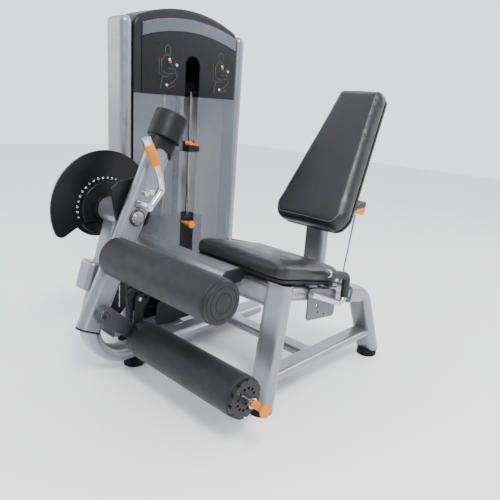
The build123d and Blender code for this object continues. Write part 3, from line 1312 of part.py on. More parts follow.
def belts():
    """The belt from the drum to the turning pulley, along the floor, and over the head."""
    x = belt_side_x()
    y = belt_line_y()
    half = BELT_WIDE / 2
    side = block((x - half, x + half), (y - BELT_THICK / 2, y + BELT_THICK / 2), (PULLEY_Z, PIVOT_Z))
    centre_y = y + PULLEY_R + BELT_THICK / 2 + GAP
    around = ring_x(x - half, x + half, centre_y, PULLEY_Z, PULLEY_R + GAP + BELT_THICK, PULLEY_R + GAP)
    low = PULLEY_Z - PULLEY_R - GAP - BELT_THICK
    quarter = around & block((x - 50, x + 50), (y - 20, centre_y), (low - 5, PULLEY_Z))
    run = block((x - half, x + half), (centre_y, COVER_FRONT_Y + 12), (low, low + BELT_THICK))
    parts["belt_side"] = side + quarter + run
    top = TOP_PULLEY_Z + PULLEY_R + GAP
    radius = PULLEY_R + GAP + BELT_THICK
    front_y = RISE_Y + PULLEY_R + BELT_THICK / 2 + GAP
    rear_y = STACK_Y - PULLEY_R - BELT_THICK / 2 - GAP
    x = STACK_X
    span = (x - half, x + half)
    rise = block(span, (RISE_Y - BELT_THICK / 2, RISE_Y + BELT_THICK / 2), (COLUMN_LOW_Z + 20, TOP_PULLEY_Z))
    curve_front = ring_x(*span, front_y, TOP_PULLEY_Z, radius, PULLEY_R + GAP) & block(
        (x - 50, x + 50), (RISE_Y - 20, front_y), (TOP_PULLEY_Z, top + 20)
    )
    over = block(span, (front_y, rear_y), (top, top + BELT_THICK))
    curve_rear = ring_x(*span, rear_y, TOP_PULLEY_Z, radius, PULLEY_R + GAP) & block(
        (x - 50, x + 50), (rear_y, STACK_Y + 20), (TOP_PULLEY_Z, top + 20)
    )
    parts["belt_head"] = rise + curve_front + over + curve_rear
    parts["belt_stack"] = block(
        span, (STACK_Y - BELT_THICK / 2, STACK_Y + BELT_THICK / 2), (STEM_TOP_Z + CLAMP_HALF[2], TOP_PULLEY_Z)
    )


def belt_cover():
    """The low black box between the mast and the tower that hides the belt's turn."""
    x = (TOWER_FACE_X + 1, MAST_X - TUBE_WIDE / 2 - 1)
    y = (COVER_FRONT_Y, COVER_FRONT_Y + BELT_COVER_LONG)
    z = (COLUMN_LOW_Z + 8, BELT_COVER_TOP_Z)
    outer = block(x, y, z)
    outer = fillet(outer.edges().filter_by(Axis.X).group_by(Axis.Z)[-1], BELT_COVER_ROUND)
    inner = block((x[0] + SHELL, x[1] - SHELL), (y[0] - 1, y[1] - SHELL), (z[0] - 1, z[1] - SHELL))
    parts["belt_cover"] = outer - inner


def head_pulleys_axles():
    """Pins through the head's pulleys and the hangers that hold them."""
    pins, hangers = [], []
    for y in (RISE_Y + PULLEY_R + BELT_THICK / 2 + GAP, STACK_Y - PULLEY_R - BELT_THICK / 2 - GAP):
        pins.append(rod_x(STACK_X - 32, STACK_X + 32, y, TOP_PULLEY_Z, PULLEY_PIN_R))
    for side in (-1, 1):
        x = STACK_X + side * HANGER_OUT
        low_y = RISE_Y + PULLEY_R - 20
        high_y = STACK_Y - PULLEY_R + 20
        span = (x - HANGER_THICK / 2, x + HANGER_THICK / 2)
        height = (HEAD_BEAM_Z + HEAD_RAIL_HIGH, TOP_PULLEY_Z + HANGER_OUT)
        plate = block(span, (low_y, high_y), height)
        hangers.append(plate - pins[0] - pins[1])
    parts["head_pulley_pins"] = group(pins)
    parts["pulley_hangers"] = group(hangers)


# ================================================================ everything together
def build_all():
    feet()
    mast()
    mast_cover()
    side_frame()
    floor_beams()
    main_tube()
    cam()
    pulleys()
    swing_arm()
    arm_weight()
    hub_plate()
    start_lever()
    notch_plate()
    upper_roller()
    ankle_link()
    lower_roller()
    release_knob()
    seat()
    seat_supports()
    hand_grips()
    back_rest()
    carriage()
    paddle()
    tower_frame()
    tower_head()
    tower_panels()
    weight_stack()
    belts()
    belt_cover()
    head_pulleys_axles()


SETS = {
    "rubber_feet": ("rubber_feet", "stack_bumpers"),
    "frame_steelwork": (
        "foot_studs",
        "pivot_bearings",
        "turning_pulley_pin",
        "head_pulley_pins",
        "guide_rods",
    ),
    "floor_beams": ("outer_floor_beam", "floor_cross_beam"),
    "seat_cross_tubes": ("seat_beam", "main_cross_tube", "tube_gusset"),
    "tower_base": ("tower_base_tube", "base_tie", "tower_floor"),
    "belt_covers": ("belt_cover", "pulley_bracket"),
    "head_beam": ("head_beam", "pulley_hangers"),
    "tower_columns": ("column_front", "column_rear"),
    "front_panels": ("front_panel_left", "front_panel_right"),
    "fixed_belts": ("belt_side", "belt_head"),
    "seat_brackets": ("seat_cross_bars", "side_plates"),
    "grip_tubes": ("grip_tubes", "grip_end_caps"),
    "cam_hub": ("cam_hub", "belt_drum"),
    "arm_pins": ("upper_axle", "link_pin", "lever_pin", "hub_plate_bolts", "lever_stops", "pivot_nut"),
    "counterweight": ("counterweight", "weight_sleeve"),
    "start_lever": ("start_lever", "lever_cap"),
    "upper_roller_cap": ("upper_roller_cap", "upper_roller_core"),
    "lower_axle": ("lower_axle", "knob_sleeve"),
    "lower_roller_hub": (
        "lower_roller_hub",
        "lower_roller_core",
        "lower_roller_flange",
        "lower_roller_collar",
    ),
    "release_knob": ("release_knob", "release_stem"),
    "back_shell": ("back_shell", "paddle_lug", "paddle_pin"),
    "top_plate": ("top_plate", "stack_stem", "belt_clamp"),
    "addon_weight": ("addon_weight", "addon_ears", "addon_pin"),
    "selector_pin": ("selector_pin", "selector_head"),
}


def gather():
    """Puts pieces that are fastened together and share a finish into one node."""
    for name, members in SETS.items():
        pieces = [parts.pop(member) for member in members]
        parts[name] = group(pieces)


build_all()
gather()
whole = group(parts.values()).bounding_box()
ORIGIN = Vector(whole.center().X, whole.center().Y, 0)
os.makedirs("parts", exist_ok=True)
for name, piece in parts.items():
    export_step(Pos(-ORIGIN.X, -ORIGIN.Y, 0) * piece, f"parts/{name}.step")
print(len(parts), "nodes, size", tuple(whole.size), "origin", tuple(ORIGIN))
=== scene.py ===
"""The looks of a seated leg machine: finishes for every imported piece, stitched cushions,
foam rollers, small fittings, a pale studio and the camera."""

import json
import math

import bmesh
import bpy
from mathutils import Matrix, Vector
from mathutils.bvhtree import BVHTree


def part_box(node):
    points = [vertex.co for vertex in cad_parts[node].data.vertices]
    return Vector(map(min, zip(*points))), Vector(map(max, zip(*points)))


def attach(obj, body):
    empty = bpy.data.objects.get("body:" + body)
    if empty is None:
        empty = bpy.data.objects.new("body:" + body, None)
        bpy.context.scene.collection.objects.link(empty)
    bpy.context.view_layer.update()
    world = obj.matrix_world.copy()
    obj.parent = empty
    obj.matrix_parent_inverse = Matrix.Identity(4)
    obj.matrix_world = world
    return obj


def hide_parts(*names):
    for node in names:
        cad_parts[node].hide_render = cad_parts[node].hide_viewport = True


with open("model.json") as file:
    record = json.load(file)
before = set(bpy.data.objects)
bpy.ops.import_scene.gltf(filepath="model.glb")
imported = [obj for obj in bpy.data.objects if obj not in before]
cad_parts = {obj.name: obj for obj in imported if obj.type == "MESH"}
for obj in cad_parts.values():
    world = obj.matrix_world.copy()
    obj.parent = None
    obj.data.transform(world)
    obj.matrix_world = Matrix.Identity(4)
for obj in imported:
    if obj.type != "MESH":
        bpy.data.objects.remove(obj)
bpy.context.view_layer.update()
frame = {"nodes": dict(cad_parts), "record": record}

# ---------------------------------------------------------------- sizes shared with the CAD model
SEAT_SLOPE = math.radians(12.5)
SEAT_DEPTH = 0.372
SEAT_CORNERS_R = (0.042,) * 4
BACK_TILT = math.radians(31.0)
BACK_LONG = 0.620
BACK_THICK = 0.064
BACK_HALF = 0.176
BACK_TOP_HALF = 0.105
BACK_KNEE = 0.062
BACK_CUT = 0.026
BACK_CORNERS_R = (0.052, 0.052, 0.052, 0.030, 0.030, 0.052)
TUBE_HALF = 0.0255
PLUG_X = {"tower_base": -0.432, "mast_tube": -0.222}
PLUG_HALF = {"tower_base": (0.0578, 0.0223), "mast_tube": (0.0478, 0.0223)}
CAM_HOLE_CIRCLE = 0.112
CAM_HOLE_R = 0.005
CAM_HOLES = 22
CAM_FIRST_HOLE = -166.0
CAM_HOLE_STEP = 10.0
TRIM_INNER_R = 0.0245
TRIM_OUTER_R = 0.030
TRIM_HIGH = 0.0085

# ---------------------------------------------------------------- camera
CAMERA_AT = (1.394, -1.3992, 1.048)
CAMERA_TURN = math.radians(42.63)
CAMERA_DOWN = math.radians(15.69)
CAMERA_ROLL = math.radians(4.03)
LENS = 37.03

# ---------------------------------------------------------------- studio
FLOOR_HALF = 9.0
SKY_BRIGHT_SIDE = (-0.55, 0.6, 0.58)
SKY_DARK = (0.30, 0.31, 0.33, 1.0)
SKY_PALE = (0.94, 0.96, 1.0, 1.0)
SKY_STRENGTH = 1.9
SKY_DOT_DARK = -0.7
SKY_DOT_PALE = 0.3
LAMP_AIM = (0, 0, 0.6)
LAMPS = (
    ("key", (2.4, -1.6, 3.4), 1.0, 210.0),
    ("fill", (-3.0, -2.4, 2.2), 2.4, 30.0),
    ("rim", (1.5, 3.0, 2.8), 2.0, 60.0),
)

# ---------------------------------------------------------------- making cushions and rollers
# A pad's levels are (height over its base, inset of its outline) from the base up.
PAD_GAP = 0.0005
CROWN = 0.003
SHRINKS = (0.82, 0.62, 0.42, 0.22, 0.06)
SEAT_LEVELS = (
    (0.0005, 0.005), (0.006, 0.001), (0.022, 0.0), (0.040, 0.001),
    (0.0455, 0.006), (0.052, 0.030), (0.059, 0.062),
)
BACK_LEVELS = (
    (0.0005, 0.004), (0.006, 0.0), (0.024, 0.0), (0.042, 0.003),
    (0.054, 0.011), (0.062, 0.026), (0.064, 0.045),
)
SMALLEST_CORNER_R = 0.006
PAD_VOXEL = 0.006
PAD_PRESSURE = 3.0
PAD_SWELL = 0.005
CLOTH_STEPS = 20
SEAM_HEIGHT = 0.044
SEAM_INSET = 0.001
SEAM_R = 0.0013
STITCH_HEIGHT = 0.067
STITCH_INSET = 0.023
STITCH_R = 0.0009
CORE_R = 0.0301
FOAM_END_R = 0.009
FOAM_END_STEPS = 6
FOAM_RUNS = 40
FOAM_STEPS = 96
BUSH_STEPS = 20
PLUG_STEPS = 40
# Each ring of a plug is (share of the tube's inside, depth into the tube).
PLUG_PROFILE = ((0.9, 0.001), (0.985, 0.003), (0.99, 0.02))

# ---------------------------------------------------------------- colours
SILVER = (0.25, 0.265, 0.285)
MID_GREY = (0.10, 0.105, 0.115)
BLACK = (0.004, 0.004, 0.0045)
CHARCOAL = (0.0075, 0.0082, 0.0095)
ORANGE = (0.55, 0.165, 0.001)
BRIGHT = (0.58, 0.59, 0.61)
BRASS = (0.115, 0.085, 0.06)
BELT_BLACK = (0.006, 0.006, 0.006)
IRON_BLACK = (0.005, 0.005, 0.0055)
PLASTIC_BLACK = (0.005, 0.005, 0.006)
GLOSS_BLACK = (0.003, 0.003, 0.0035)
FOAM_BLACK = (0.0085, 0.009, 0.0105)
SHROUD_GREY = (0.34, 0.355, 0.375)
BAND_BLUE = (0.10, 0.115, 0.145)
SMOKE = (0.16, 0.18, 0.215)
THREAD_GREY = (0.15, 0.155, 0.165)
INK_GREY = (0.075, 0.07, 0.068)
DOT_WHITE = (0.6, 0.6, 0.6)
FLOOR_GREY = (0.86, 0.86, 0.86)

# ---------------------------------------------------------------- the drawing on the picture panel
# Points are (across, up) in shares of a figure's size.
HEAD_MIDDLE = (0.10, 0.42)
HEAD_WIDE = 0.11
HEAD_HIGH = 0.15
HEAD_STEP = 0.63
HEAD_TURNS = tuple(a * HEAD_STEP for a in range(11))
HEAD_LINE = tuple(
    (HEAD_MIDDLE[0] + HEAD_WIDE * math.cos(turn), HEAD_MIDDLE[1] + HEAD_HIGH * math.sin(turn))
    for turn in HEAD_TURNS
)
BODY_LINE = (
    (0.0, 0.28), (-0.14, 0.1), (-0.12, -0.2), (0.1, -0.28), (0.42, -0.22), (0.4, -0.1), (0.12, -0.12)
)
ARM_LINE = ((0.2, 0.28), (0.14, 0.05), (0.3, -0.02), (0.42, 0.12))
LEG_LINE = ((0.42, -0.22), (0.5, -0.32), (0.3, -0.52), (0.12, -0.6), (0.14, -0.7), (0.4, -0.6))
BENCH_LINE = ((-0.24, 0.2), (-0.22, -0.3), (0.3, -0.36), (-0.1, -0.36), (-0.16, -0.72))
FIGURE_LINES = (HEAD_LINE, BODY_LINE, ARM_LINE, LEG_LINE, BENCH_LINE)
FIGURE_JOINTS = ((0.17, 0.16, "white"), (0.2, 0.1, "orange"), (0.46, 0.02, "white"), (0.08, -0.6, "white"))
# Each spot is (share across the panel, share up it, size in metres).
PICTURE_SPOTS = ((0.22, 0.46, 0.13), (0.80, 0.46, 0.13))
DOT_R = 0.035
DOT_STEP = 1.05
DOT_LINE_R = 0.0016
FIGURE_LINE_R = 0.0011


# ================================================================ materials
class Shader:
    """A principled material with helpers for grain, mottling and rounded edges."""

    def __init__(self, name, color, rough, metal=0.0):
        self.mat = bpy.data.materials.new(name)
        self.mat.use_nodes = True
        self.nodes = self.mat.node_tree.nodes
        self.links = self.mat.node_tree.links
        self.main = self.nodes["Principled BSDF"]
        self.color = (*color, 1.0)
        self.set("Base Color", self.color)
        self.set("Roughness", rough)
        self.set("Metallic", metal)
        self.rough = rough
        self.where = self.nodes.new("ShaderNodeTexCoord").outputs["Object"]
        self.normal = None

    def set(self, name, value):
        self.main.inputs[name].default_value = value

    def dull(self, level):
        """Lowers the share of light that the surface mirrors."""
        self.set("Specular IOR Level", level)
        return self

    def noise(self, scale, detail=3.0, stretch=None):
        """A cloudy pattern in the object's own space, finer as the scale rises."""
        node = self.nodes.new("ShaderNodeTexNoise")
        node.inputs["Scale"].default_value = scale
        node.inputs["Detail"].default_value = detail
        source = self.where
        if stretch:
            mapping = self.nodes.new("ShaderNodeMapping")
            mapping.inputs["Scale"].default_value = stretch
            self.links.new(source, mapping.inputs["Vector"])
            source = mapping.outputs["Vector"]
        self.links.new(source, node.inputs["Vector"])
        return node.outputs["Fac"]

    def cells(self, scale):
        """A pattern of small cells, as in pebbled leather or moulded plastic."""
        node = self.nodes.new("ShaderNodeTexVoronoi")
        node.feature = "DISTANCE_TO_EDGE"
        node.inputs["Scale"].default_value = scale
        self.links.new(self.where, node.inputs["Vector"])
        return node.outputs["Distance"]

    def remap(self, source, low, high, from_low=0.3, from_high=0.7):
        """Spreads a pattern's usual values over a new range."""
        node = self.nodes.new("ShaderNodeMapRange")
        node.inputs["From Min"].default_value = from_low
        node.inputs["From Max"].default_value = from_high
        node.inputs["To Min"].default_value = low
        node.inputs["To Max"].default_value = high
        self.links.new(source, node.inputs["Value"])
        return node.outputs["Result"]

    def mottle(self, source, darker, lighter):
        """Varies the colour between a darker and a lighter share of itself."""
        mix = self.nodes.new("ShaderNodeMix")
        mix.data_type = "RGBA"
        mix.inputs["A"].default_value = tuple(c * darker for c in self.color[:3]) + (1.0,)
        mix.inputs["B"].default_value = tuple(min(1.0, c * lighter) for c in self.color[:3]) + (1.0,)
        self.links.new(self.remap(source, 0.0, 1.0), mix.inputs["Factor"])
        self.links.new(mix.outputs["Result"], self.main.inputs["Base Color"])
        return self

    def patchy(self, source, spread):
        """Varies the roughness either way by the spread."""
        low, high = self.rough - spread, self.rough + spread
        self.links.new(self.remap(source, low, high), self.main.inputs["Roughness"])
        return self

    def bump(self, source, distance, strength=1.0):
        """Adds a relief of the given height to those already there."""
        node = self.nodes.new("ShaderNodeBump")
        node.inputs["Strength"].default_value = strength
        node.inputs["Distance"].default_value = distance
        self.links.new(source, node.inputs["Height"])
        if self.normal:
            self.links.new(self.normal, node.inputs["Normal"])
        self.normal = node.outputs["Normal"]
        self.links.new(self.normal, self.main.inputs["Normal"])
        return self

    def round_edges(self, radius):
        """Makes sharp edges catch the light as if rounded."""
        node = self.nodes.new("ShaderNodeBevel")
        node.samples = 4
        node.inputs["Radius"].default_value = radius
        self.normal = node.outputs["Normal"]
        self.links.new(self.normal, self.main.inputs["Normal"])
        return self


def metallic_paint(name, color, rough=0.34):
    s = Shader(name, color, rough, 0.75).round_edges(0.0015)
    s.mottle(s.noise(5.0), 0.94, 1.05)
    s.patchy(s.noise(26.0, 6.0), 0.07)
    s.bump(s.noise(1400.0, 2.0), 0.00003)
    s.set("Coat Weight", 0.35)
    s.set("Coat Roughness", 0.18)
    return s.mat


def powder_coat(name, color, rough=0.4):
    s = Shader(name, color, rough).round_edges(0.0012).dull(0.3)
    s.mottle(s.noise(9.0), 0.88, 1.15)
    s.patchy(s.noise(22.0, 5.0), 0.05)
    s.bump(s.noise(700.0, 3.0), 0.00005)
    return s.mat


def cast_iron(name, color):
    s = Shader(name, color, 0.5).round_edges(0.002).dull(0.25)
    s.mottle(s.noise(30.0, 6.0), 0.75, 1.3)
    s.patchy(s.noise(60.0, 6.0), 0.1)
    s.bump(s.noise(240.0, 5.0), 0.0003)
    return s.mat


def rubber(name, color, rough=0.7):
    s = Shader(name, color, rough).round_edges(0.0015).dull(0.2)
    s.mottle(s.noise(50.0, 5.0), 0.8, 1.3)
    s.bump(s.cells(450.0), 0.0002)
    return s.mat


def moulded(name, color, rough=0.45, grain=0.00006):
    s = Shader(name, color, rough).round_edges(0.0015).dull(0.3)
    s.mottle(s.noise(9.0), 0.92, 1.1)
    s.patchy(s.noise(30.0, 5.0), 0.04)
    s.bump(s.cells(1100.0), grain)
    return s.mat


def polished(name, color, rough=0.2):
    s = Shader(name, color, rough, 1.0).round_edges(0.001)
    s.mottle(s.noise(60.0, 5.0), 0.85, 1.05)
    s.patchy(s.noise(90.0, 6.0, (0.2, 1.0, 1.0)), 0.08)
    s.bump(s.noise(900.0, 2.0, (0.08, 1.0, 1.0)), 0.00004)
    return s.mat


def vinyl(name, color):
    s = Shader(name, color, 0.4).dull(0.42)
    s.mottle(s.noise(8.0, 4.0), 0.82, 1.25)
    s.patchy(s.noise(18.0, 6.0), 0.09)
    s.bump(s.noise(11.0, 3.0), 0.0022, 0.5)
    s.bump(s.cells(620.0), 0.00016)
    s.set("Sheen Weight", 0.03)
    return s.mat


def foam_skin(name, color):
    s = Shader(name, color, 0.55).dull(0.25)
    s.mottle(s.noise(16.0, 5.0), 0.85, 1.2)
    s.patchy(s.noise(30.0, 6.0), 0.07)
    s.bump(s.noise(20.0, 3.0), 0.0009, 0.5)
    s.bump(s.noise(900.0, 3.0), 0.00012)
    s.set("Sheen Weight", 0.04)
    return s.mat


def smoked_sheet(name):
    s = Shader(name, SMOKE, 0.14)
    s.mottle(s.noise(3.0), 0.92, 1.08)
    s.patchy(s.noise(50.0, 6.0), 0.05)
    s.set("Alpha", 0.34)
    return s.mat


def two_tone(name, below, above, height):
    """Moulded plastic whose lower share, up to a height of its own box, has another colour."""
    s = Shader(name, above, 0.38).round_edges(0.002)
    split = s.nodes.new("ShaderNodeSeparateXYZ")
    coords = s.nodes.new("ShaderNodeTexCoord")
    s.links.new(coords.outputs["Generated"], split.inputs["Vector"])
    mix = s.nodes.new("ShaderNodeMix")
    mix.data_type = "RGBA"
    mix.inputs["A"].default_value = (*below, 1.0)
    mix.inputs["B"].default_value = (*above, 1.0)
    s.links.new(s.remap(split.outputs["Z"], 0.0, 1.0, height - 0.01, height + 0.01), mix.inputs["Factor"])
    s.links.new(mix.outputs["Result"], s.main.inputs["Base Color"])
    s.bump(s.cells(600.0), 0.0001)
    return s.mat


def ribbed_rubber(name, color):
    s = Shader(name, color, 0.6)
    s.mottle(s.noise(40.0, 4.0), 0.8, 1.5)
    wave = s.nodes.new("ShaderNodeTexWave")
    wave.inputs["Scale"].default_value = 55.0
    s.links.new(s.where, wave.inputs["Vector"])
    s.bump(wave.outputs["Fac"], 0.0006)
    return s.mat


LOOKS = {
    "silver_paint": metallic_paint("silver_paint_look", SILVER),
    "grey_paint": metallic_paint("grey_paint_look", MID_GREY, 0.4),
    "black_paint": powder_coat("black_paint_look", BLACK, 0.34),
    "bright_steel": polished("bright_steel_look", BRIGHT),
    "cast_black": cast_iron("cast_black_look", IRON_BLACK),
    "black_rubber": rubber("black_rubber_look", BLACK),
    "belt_rubber": rubber("belt_look", BELT_BLACK, 0.6),
    "black_plastic": moulded("black_plastic_look", PLASTIC_BLACK),
    "black_gloss": moulded("black_gloss_look", GLOSS_BLACK, 0.3, 0.00001),
    "smoked_panel": smoked_sheet("smoked_panel_look"),
    "grey_shroud": moulded("grey_shroud_look", SHROUD_GREY, 0.6),
    "vinyl": vinyl("vinyl_look", CHARCOAL),
    "foam": foam_skin("foam_look", FOAM_BLACK),
    "orange_plastic": moulded("orange_plastic_look", ORANGE, 0.33, 0.00004),
}


def dress_nodes():
    """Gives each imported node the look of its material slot."""
    for entry in frame["record"]["subparts"]:
        set_look(frame["nodes"][entry["node"]], LOOKS[entry["material_slot"]])
    set_look(frame["nodes"]["head_band"], metallic_paint("band_look", BAND_BLUE, 0.2))
    set_look(frame["nodes"]["grip_rubbers"], ribbed_rubber("grip_look", BLACK))
    set_look(frame["nodes"]["release_paddle"], two_tone("paddle_look", ORANGE, BLACK, 0.55))


def set_look(piece, look):
    """Gives every material slot of a piece one look."""
    if not piece.material_slots:
        piece.data.materials.append(look)
    for slot in piece.material_slots:
        slot.material = look


# ================================================================ making pieces
def new_mesh(name, verts, faces, look, smooth=True):
    """A mesh piece whose faces all point outwards."""
    mesh = bpy.data.meshes.new(name)
    mesh.from_pydata([tuple(v) for v in verts], [], faces)
    mesh.update()
    bm = bmesh.new()
    bm.from_mesh(mesh)
    bmesh.ops.recalc_face_normals(bm, faces=bm.faces)
    bm.to_mesh(mesh)
    bm.free()
    piece = bpy.data.objects.new(name, mesh)
    bpy.context.scene.collection.objects.link(piece)
    mesh.materials.append(look)
    mesh.polygons.foreach_set("use_smooth", [smooth] * len(mesh.polygons))
    return piece


def lathe(name, profile, y, z, look, steps=72):
    """Turns a closed (x, radius) profile about an axis along X."""
    verts, faces = [], []
    count = len(profile)
    for n in range(steps):
        turn = 2 * math.pi * n / steps
        for x, radius in profile:
            verts.append((x, y + radius * math.cos(turn), z + radius * math.sin(turn)))
    for n in range(steps):
        here, there = n * count, (n + 1) % steps * count
        for k in range(count):
            k2 = (k + 1) % count
            faces.append((here + k, here + k2, there + k2, there + k))
    return new_mesh(name, verts, faces, look)


def wire(name, points, radius, look, closed=False):
    """A thin round tube through points."""
    curve = bpy.data.curves.new(name, "CURVE")
    curve.dimensions = "3D"
    curve.bevel_depth = radius
    curve.bevel_resolution = 2
    line = curve.splines.new("POLY")
    line.points.add(len(points) - 1)
    for point, place in zip(line.points, points):
        point.co = (*place, 1.0)
    line.use_cyclic_u = closed
    piece = bpy.data.objects.new(name, curve)
    bpy.context.scene.collection.objects.link(piece)
    curve.materials.append(look)
    return piece


def inset_corners(corners, inset):
    """Moves every side of an anticlockwise outline inwards by inset."""
    moved = []
    count = len(corners)
    for n in range(count):
        before, here, after = corners[n - 1], corners[n], corners[(n + 1) % count]
        a = (here - before).normalized()
        b = (after - here).normalized()
        normal_a, normal_b = Vector((-a.y, a.x)), Vector((-b.y, b.x))
        along = (normal_a + normal_b).normalized()
        moved.append(here + along * inset / along.dot(normal_a))
    return moved


def rounded_ring(corners, radii, inset, arc_steps=8, side_steps=10):
    """Points round an inset outline whose corners are rounded, each by its own radius."""
    corners = inset_corners([Vector(c) for c in corners], inset)
    radii = [max(SMALLEST_CORNER_R, radius - inset) for radius in radii]
    arcs = []
    count = len(corners)
    for n in range(count):
        before, here, after = corners[n - 1], corners[n], corners[(n + 1) % count]
        a = (before - here).normalized()
        b = (after - here).normalized()
        half = a.angle(b) / 2
        reach = radii[n] / math.tan(half)
        centre = here + (a + b).normalized() * radii[n] / math.sin(half)
        start, end = here + a * reach - centre, here + b * reach - centre
        turn = start.angle_signed(end)
        turns = [Matrix.Rotation(-turn * k / arc_steps, 2) for k in range(arc_steps + 1)]
        arcs.append([centre + rotation @ start for rotation in turns])
    ring = []
    for n in range(count):
        ring += arcs[n]
        start, end = arcs[n][-1], arcs[(n + 1) % count][0]
        ring += [start.lerp(end, k / side_steps) for k in range(1, side_steps)]
    return ring


def loft(name, corners, radii, levels, place, look):
    """A closed pad from insets at rising heights, its top and bottom closed to the middle."""
    rings = []
    for height, inset in levels:
        rings.append([(p.x, p.y, height) for p in rounded_ring(corners, radii, inset)])
    rings = shrink(rings[0], levels[0][0], 0.0)[::-1] + rings + shrink(rings[-1], levels[-1][0], CROWN)
    verts = [place @ Vector(p) for ring in rings for p in ring]
    size = len(rings[0])
    faces = []
    for level in range(len(rings) - 1):
        for n in range(size):
            n2 = (n + 1) % size
            base, top = level * size, (level + 1) * size
            faces.append((base + n, base + n2, top + n2, top + n))
    faces.append(tuple(range(size))[::-1])
    faces.append(tuple(range(len(verts) - size, len(verts))))
    return new_mesh(name, verts, faces, look)


def shrink(ring, height, crown):
    """Rings that close in on the middle, rising by the crown."""
    middle_x = sum(p[0] for p in ring) / len(ring)
    middle_y = sum(p[1] for p in ring) / len(ring)
    rings = []
    for share in SHRINKS:
        rise = height + crown * (1 - share * share)
        rings.append([
            (middle_x + (x - middle_x) * share, middle_y + (y - middle_y) * share, rise)
            for x, y, _ in ring
        ])
    return rings


def puff(piece, voxel, pressure, cap):
    """Swells a pad as stuffed cloth, with no point moving further than the cap."""
    remesh = piece.modifiers.new("remesh", "REMESH")
    remesh.mode = "VOXEL"
    remesh.voxel_size = voxel
    remesh.use_smooth_shade = True
    apply_modifiers(piece)
    start = [v.co.copy() for v in piece.data.vertices]
    cloth = piece.modifiers.new("cloth", "CLOTH")
    cloth.settings.quality = 5
    cloth.settings.use_pressure = True
    cloth.settings.uniform_pressure_force = pressure
    cloth.settings.effector_weights.gravity = 0.0
    cloth.point_cache.frame_start = 1
    cloth.point_cache.frame_end = CLOTH_STEPS
    for step in range(1, CLOTH_STEPS + 1):
        bpy.context.scene.frame_set(step)
    apply_modifiers(piece)
    for vertex, was in zip(piece.data.vertices, start):
        moved = vertex.co - was
        if moved.length > cap:
            vertex.co = was + moved.normalized() * cap
    bpy.context.scene.frame_set(1)
    smooth = piece.modifiers.new("smooth", "SMOOTH")
    smooth.iterations = 3
    smooth.factor = 0.5
    finer = piece.modifiers.new("finer", "SUBSURF")
    finer.levels = 1
    finer.render_levels = 1
    apply_modifiers(piece)
    piece.data.polygons.foreach_set("use_smooth", [True] * len(piece.data.polygons))


def apply_modifiers(piece):
    """Replaces the piece's mesh by its shape with the modifiers on."""
    depsgraph = bpy.context.evaluated_depsgraph_get()
    shaped = bpy.data.meshes.new_from_object(piece.evaluated_get(depsgraph))
    looks = [slot.material for slot in piece.material_slots]
    piece.modifiers.clear()
    piece.data = shaped
    for n, look in enumerate(looks):
        if n < len(shaped.materials):
            shaped.materials[n] = look
        else:
            shaped.materials.append(look)


def seam(name, pad, route, radius, look, body):
    """A sewn seam: a cord along the pad's surface nearest to a route."""
    corners = [v.co for v in pad.data.vertices]
    tree = BVHTree.FromPolygons(corners, [p.vertices for p in pad.data.polygons])
    points = [tree.find_nearest(point)[0] for point in route]
    piece = wire(name, points, radius, look, closed=True)
    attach(piece, body)
    return piece


# ================================================================ cushions
def placement(origin, across, along):
    """A matrix whose X is across, Y along and Z out of the pad's face."""
    out = across.cross(along)
    columns = Matrix((across, along, out)).transposed().to_4x4()
    return Matrix.Translation(origin) @ columns


THREAD = moulded("thread_look", THREAD_GREY, 0.7)
INKS = {
    "ink": moulded("ink_look", INK_GREY, 0.6),
    "white": moulded("white_look", DOT_WHITE, 0.5),
    "orange": LOOKS["orange_plastic"],
}


def seat_cushion():
    """The sloped seat cushion with a piped seam round its upper rim."""
    low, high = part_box("seat_pad")
    half = (high[0] - low[0]) / 2 - PAD_GAP
    middle = (high[0] + low[0]) / 2
    along = Vector((0, math.cos(SEAT_SLOPE), -math.sin(SEAT_SLOPE)))
    origin = Vector((middle, low[1], low[2] + SEAT_DEPTH * math.sin(SEAT_SLOPE)))
    place = placement(origin, Vector((1, 0, 0)), along)
    far = SEAT_DEPTH - PAD_GAP
    corners = [(-half, PAD_GAP), (half, PAD_GAP), (half, far), (-half, far)]
    pad = loft("seat_cushion", corners, SEAT_CORNERS_R, SEAT_LEVELS, place, LOOKS["vinyl"])
    puff(pad, PAD_VOXEL, PAD_PRESSURE, PAD_SWELL)
    finish_pad(pad, "seat_pad", "frame")
    ring = rounded_ring(corners, SEAT_CORNERS_R, SEAM_INSET)
    rim = [place @ Vector((p.x, p.y, SEAM_HEIGHT)) for p in ring]
    seam("seat_seam", pad, rim, SEAM_R, LOOKS["vinyl"], "frame")


